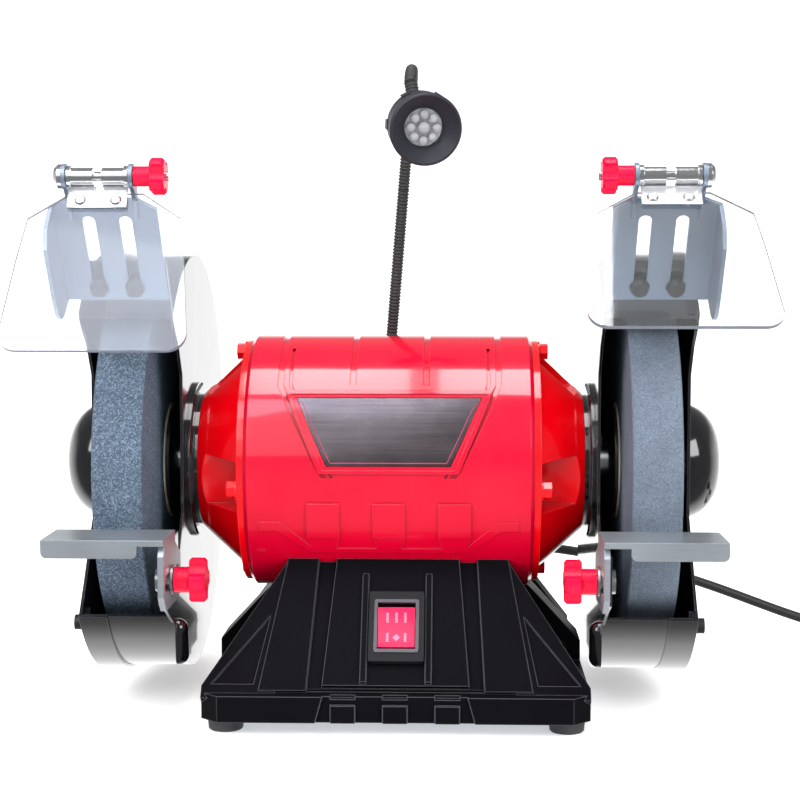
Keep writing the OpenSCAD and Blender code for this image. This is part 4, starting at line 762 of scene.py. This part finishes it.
def coil_way(radius, cord_r, start, turns):
    """Centreline of a coil wound clockwise: three turns inwards on the floor, then outwards on top of them.

    Every crossing rolls over the turn below it at just one diameter's distance.
    """
    d = 2 * cord_r

    def rolled(over, degrees):
        return over + d * math.cos(math.radians(degrees)), cord_r + d * math.sin(math.radians(degrees))

    outer, middle = radius + d, radius
    points = []
    count = round(turns * PER_TURN)
    for k in range(count + 1):
        t = k * turns / count
        part = t % 1
        late = max(0.0, (part - SHIFT_AT) / SHIFT_LONG)
        roll = min(max((part - ROLL_AT) / SHIFT_LONG, 0.0), 1.0)
        hump = cord_r + math.sqrt(d * d - (cord_r - d * late) ** 2)
        if t < 2:
            r, z = (outer, middle)[int(t)] - d * late, cord_r
        elif t < 3:
            r, z = rolled(middle, 3 * STACKED - STACKED * roll)
            z = hump if late else z
        elif t < WHOLE_TURNS:
            r, z = rolled(middle, 2 * STACKED - STACKED * roll)
            z = hump if late else z
        else:
            r, z = rolled(outer, 2 * STACKED - STACKED * min(part / (turns - WHOLE_TURNS), 1.0))
        a = start - t * math.tau
        points.append((COIL[0] + r * math.cos(a), COIL[1] + r * math.sin(a), z))
    return points


class OBJECT_OT_grinder_cord(bpy.types.Operator):
    """Lays the mains cord and its coil, and dresses the strain relief and the plug"""
    bl_idname = "object.grinder_cord"
    bl_label = "Cord"

    def execute(self, context):
        g = sizes()
        r = g.cord_r / MM
        last, first = Vector(ROUTE[-1][:2]), Vector(TAIL[0][:2])
        reach, leave = last - Vector(COIL), first - Vector(COIL)
        outside = (COIL_RADII + 2) * r
        start = math.atan2(reach.y, reach.x) - math.acos(outside / reach.length)
        turns = WHOLE_TURNS + ((start - math.atan2(leave.y, leave.x)) % math.tau) / math.tau
        way = ROUTE + coil_way(COIL_RADII * r, r, start, turns)[:-1] + TAIL
        curve = bpy.data.curves.new("mains_lead", "CURVE")
        curve.dimensions = "3D"
        curve.resolution_u = 6
        spline = curve.splines.new("BEZIER")
        spline.bezier_points.add(len(way) - 1)
        for point, p in zip(spline.bezier_points, way):
            point.co = Vector(p) * MM + Vector((0, g.home_y, 0))
            point.handle_left_type = point.handle_right_type = "AUTO"
        curve.bevel_depth = g.cord_r
        curve.bevel_resolution = 4
        curve.use_fill_caps = True
        lead = wear(linked("mains_lead", curve), "cord")
        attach(lead, "frame")
        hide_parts("mains_cord", "cord_coil")
        wear(NODES["mains_plug"], "plug")
        wear(NODES["plug_pins"], "brass")
        rounded("cord_gland", "rubber")
        return {"FINISHED"}


# The nameplate's line, in millimetres: how far in from the edge, how far proud, its radius, and the points
# of each side. The sides slant, so the corners move in by more than the inset.
LINE_INSET, LINE_PROUD, LINE_R, LINE_PARTS = 1.6, 0.02, 0.22, 24
LINE_PITCH = 4
TOP_SLANT, LOW_SLANT = 1.6, 1.1
# How much of a bell's end is its black neck, in millimetres.
BELL_NECK = 5.6


class OBJECT_OT_grinder_motor(bpy.types.Operator):
    """Dresses the motor housing, its nameplate, bells and inner pieces"""
    bl_idname = "object.grinder_motor"
    bl_label = "Motor"

    def printed_line(self, g):
        """A thin line printed near the nameplate's edge, on its curved face."""
        inset, radius = LINE_INSET * MM, g.plate_r + LINE_PROUD * MM
        top, low = g.plate_high - inset, g.plate_low + inset
        wide, narrow = g.plate_wide / 2 - TOP_SLANT * inset, g.plate_narrow / 2 - LOW_SLANT * inset
        corners = [(-wide, top), (-narrow, low), (narrow, low), (wide, top)]
        points = [(x0 + (x1 - x0) * i / LINE_PARTS, z0 + (z1 - z0) * i / LINE_PARTS)
                  for (x0, z0), (x1, z1) in zip(corners, corners[1:]) for i in range(LINE_PARTS)]
        on_face = [Vector((x, g.home_y - math.sqrt(radius ** 2 - z ** 2), g.axle_h + z))
                   for x, z in (*points, corners[-1])]
        line = applied("plate_line", line_mesh("plate_line", on_face), ribbed_tube_tree(),
                       {"Radius": LINE_R * MM, "Depth": 0.0, "Pitch": LINE_PITCH * MM,
                        "Material": material("line")}, "frame")

    def execute(self, context):
        rounded("motor_barrel", "red")
        rounded("bell_screws", "red_bell")
        for s in SIDES:
            bell = rounded("end_bell" + s, "red_bell").data
            neck = max(abs(v.co.x) for v in bell.vertices) - BELL_NECK * MM
            second_look(bell, "gloss", lambda f: abs(f.center.x) > neck)
        rounded("nameplate", "plate")
        self.printed_line(sizes())
        for name, look in (("stator_core", "lamination"), ("stator_windings", "copper"),
                           ("ball_bearings", "steel"), ("run_capacitor", "can"),
                           ("saddle_bolts", "steel"), ("rotor_core", "lamination"), ("shaft", "steel")):
            wear(NODES[name], look)
        return {"FINISHED"}


class OBJECT_OT_grinder_base(bpy.types.Operator):
    """Dresses the cast base, its plate, feet and screws"""
    bl_idname = "object.grinder_base"
    bl_label = "Base"

    def execute(self, context):
        rounded("base_shell", "casting")
        wear(NODES["base_plate"], "zinc")
        wear(NODES["base_screws"], "steel")
        rounded("rubber_feet", "feet")
        return {"FINISHED"}


# The rocker's marks, in millimetres: bars and a diamond in two rows of three, how far apart they stand, how
# far proud their middle lies and how thick they are.
MARK_BAR, MARK_DIAMOND = (1.3, 5.2), (2.8, 2.8)
MARK_APART, MARK_PROUD, MARK_HIGH = 4.6, 0.05, 0.2
# Row and place of the diamond.
DIAMOND_AT = (1, 1)
# The rocker's broad faces look further forward and further up than this.
FORWARD, UPWARD = -0.5, 0.1


class OBJECT_OT_grinder_switch(bpy.types.Operator):
    """Dresses the switch and puts the marks on its rocker"""
    bl_idname = "object.grinder_switch"
    bl_label = "Switch"

    def broad_faces(self, mesh):
        """Direction and middle of the rocker's two broad faces, the upper one first."""
        found = {}
        for f in mesh.polygons:
            if f.normal.y < FORWARD and f.normal.z > UPWARD:
                key = tuple(round(v, 2) for v in f.normal)
                area, moment, _ = found.get(key, (0, Vector(), None))
                found[key] = (area + f.area, moment + f.center * f.area, f.normal.copy())
        broad = sorted(found.values(), key=lambda row: -row[0])[:2]
        return sorted(((out, moment / area) for area, moment, out in broad), key=lambda row: -row[1].z)

    def execute(self, context):
        rounded("switch_bezel", "bezel")
        rounded("switch_seal", "seal")
        rocker = rounded("switch_rocker", "rocker")
        tree = bars_tree()
        across = Vector((1, 0, 0))
        for i, (out, centre) in enumerate(self.broad_faces(rocker.data)):
            base = Matrix((across, out.cross(across), out)).transposed()
            for k in range(3):
                is_diamond = (i, k) == DIAMOND_AT
                w, h = MARK_DIAMOND if is_diamond else MARK_BAR
                at = centre + across * ((k - 1) * MARK_APART * MM) + out * MARK_PROUD * MM
                turn = base @ Matrix.Rotation(math.radians(45 if is_diamond else 0), 3, "Z")
                mark = applied(f"rocker_mark_{i}{k}", line_mesh("mark", [at]), tree,
                               {"Width": w * MM, "Length": h * MM, "Height": MARK_HIGH * MM,
                                "Turn": turn.to_euler(), "Material": material("mark")},
                               BODY_OF["switch_rocker"])
        return {"FINISHED"}


class OBJECT_OT_grinder_wheels(bpy.types.Operator):
    """Dresses the grinding wheels, flanges, blotters and nuts"""
    bl_idname = "object.grinder_wheels"
    bl_label = "Wheels"

    def execute(self, context):
        rounded("wheel_left", "stone_left")
        rounded("wheel_right", "stone_right")
        rounded("wheel_flanges", "dark")
        rounded("wheel_blotters", "blotter")
        rounded("shaft_nuts", "steel")
        return {"FINISHED"}


class OBJECT_OT_grinder_guards(bpy.types.Operator):
    """Dresses the wheel guards, their covers and screws"""
    bl_idname = "object.grinder_guards"
    bl_label = "Guards"

    def execute(self, context):
        for part in ("guard", "guard_cover"):
            for s in SIDES:
                rounded(part + s, "gloss")
        for name in ("guard_cover_screws", "guard_mount_screws", "spark_screws"):
            rounded(name, "oxide")
        return {"FINISHED"}


# A holder's faces nearer to its rod than this, in millimetres, are its rolled sleeve.
SLEEVE_R = 5.3
# A clear sheet's faces that look away from its broad side by more than this cosine are its cut edge.
EDGE_FACING = 0.9


class OBJECT_OT_grinder_shields(bpy.types.Operator):
    """Dresses the spark plates, rods, holders, knobs and clear shields"""
    bl_idname = "object.grinder_shields"
    bl_label = "Shields"

    def execute(self, context):
        for s in SIDES:
            rounded("spark_plate" + s, "zinc")
            rounded("shield_rod" + s, "chrome")
            holder = rounded("shield_holder" + s, "holder").data
            rod = JOINT_AT["shield_tilt" + s]
            second_look(holder, "chrome", lambda f: (f.center - rod).yz.length < SLEEVE_R * MM)
            rounded("shield_rivets" + s, "steel")
            rounded("shield_knob" + s, "knob")
            sheet = rounded("eye_shield" + s, "clear").data
            broad = max(sheet.polygons, key=lambda f: f.area).normal.copy()
            second_look(sheet, "clear_edge", lambda f: abs(f.normal.dot(broad)) < EDGE_FACING)
        return {"FINISHED"}


class OBJECT_OT_grinder_rests(bpy.types.Operator):
    """Dresses the tool rests with their bushes, bolts and knobs"""
    bl_idname = "object.grinder_rests"
    bl_label = "Rests"

    def execute(self, context):
        for s in SIDES:
            rounded("tool_rest" + s, "rest")
            rounded("rest_bush" + s, "steel")
            rounded("rest_knob" + s, "knob")
        rounded("rest_bolts", "steel")
        return {"FINISHED"}


# The lamp's neck, in millimetres with the shaft over y = 0 and in degrees: its foot and its lean, the lengths
# of its two straight stretches, and the radius and the turn of the bend above them.
NECK_FOOT, NECK_LEAN = (-3, 50, 190), 4.6
NECK_LOW, NECK_UP, NECK_BEND, NECK_TURN = 92, 46, 20, 140
BEND_PARTS = 24
# The way from the bend's end to the head, and the shares of it where the upper ribs and the stub run.
NECK_BACK = (5, -5, -24)
RIBS_OVER, STUB_OVER = (0.06, 0.13), (0.05, 0.98)
RIB_DEPTH, STUB_SWELL = 0.7, 0.45


class OBJECT_OT_grinder_lamp(bpy.types.Operator):
    """Dresses the lamp and makes its ribbed neck"""
    bl_idname = "object.grinder_lamp"
    bl_label = "Lamp"

    def ribs(self, name, points, tree, radius, body):
        """One ribbed stretch of the neck."""
        made = applied(name, line_mesh(name, points), tree,
                       {"Radius": radius, "Depth": RIB_DEPTH * MM, "Pitch": sizes().neck_pitch,
                        "Material": material("neck")}, body)
        smooth(made.data, RIB_SHARP)
        return made

    def execute(self, context):
        g = sizes()
        rounded("lamp_socket", "lamp")
        rounded("lamp_head", "lamp")
        rounded("lamp_lens", "lens")
        tree = ribbed_tube_tree()
        lean, last = math.radians(NECK_LEAN), math.radians(NECK_TURN)
        foot = Vector(NECK_FOOT) * MM + Vector((0, g.home_y, 0))

        def at(y, z):
            return foot + Vector((z * math.sin(lean), y, z * math.cos(lean))) * MM

        lower = [at(0, z) for z in (0, NECK_LOW / 2, NECK_LOW)]
        turns = [last * i / BEND_PARTS for i in range(BEND_PARTS + 1)]
        arc = [at(-NECK_BEND + NECK_BEND * math.cos(t), NECK_LOW + NECK_UP + NECK_BEND * math.sin(t))
               for t in turns]
        tip, back = arc[-1], Vector(NECK_BACK) * MM
        upper = [at(0, NECK_LOW)] + arc + [tip + back * share for share in RIBS_OVER]
        for name, points, node_name in (("neck_lower_ribs", lower, "lamp_neck_lower"),
                                        ("neck_upper_ribs", upper, "lamp_neck_upper")):
            made = self.ribs(name, points, tree, g.neck_r, BODY_OF[node_name])
            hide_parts(node_name)
        # the neck's last stretch belongs to the head
        stub = self.ribs("neck_stub_ribs", [tip + back * share for share in STUB_OVER], tree,
                         g.neck_r + STUB_SWELL * MM, BODY_OF["lamp_head"])
        return {"FINISHED"}


class VIEW3D_PT_grinder(bpy.types.Panel):
    """Lists the grinder's operators, sizes and colours"""
    bl_label = "Bench grinder"
    bl_space_type = "VIEW_3D"
    bl_region_type = "UI"
    bl_category = "Grinder"

    def draw(self, context):
        for step in STEPS:
            self.layout.operator(step.bl_idname)
        for group_name, kind in SETTINGS.items():
            for name in kind.__annotations__:
                self.layout.prop(getattr(context.scene, group_name), name)


STEPS = (OBJECT_OT_grinder_stage, OBJECT_OT_grinder_cord, OBJECT_OT_grinder_motor,
         OBJECT_OT_grinder_base, OBJECT_OT_grinder_switch, OBJECT_OT_grinder_wheels,
         OBJECT_OT_grinder_guards, OBJECT_OT_grinder_shields, OBJECT_OT_grinder_rests,
         OBJECT_OT_grinder_lamp)
SETTINGS = {"grinder_sizes": GrinderSizes, "grinder_colours": GrinderColours,
            "grinder_stage": StageSettings}
CLASSES = (*SETTINGS.values(), *STEPS, VIEW3D_PT_grinder)


def register():
    for one in CLASSES:
        bpy.utils.register_class(one)
    for name, kind in SETTINGS.items():
        setattr(bpy.types.Scene, name, bpy.props.PointerProperty(type=kind))


def unregister():
    for name in SETTINGS:
        delattr(bpy.types.Scene, name)
    for one in reversed(CLASSES):
        bpy.utils.unregister_class(one)


def main():
    register()
    for step in STEPS:
        family, name = step.bl_idname.split(".")
        getattr(getattr(bpy.ops, family), name)()


if __name__ == "__main__":
    main()
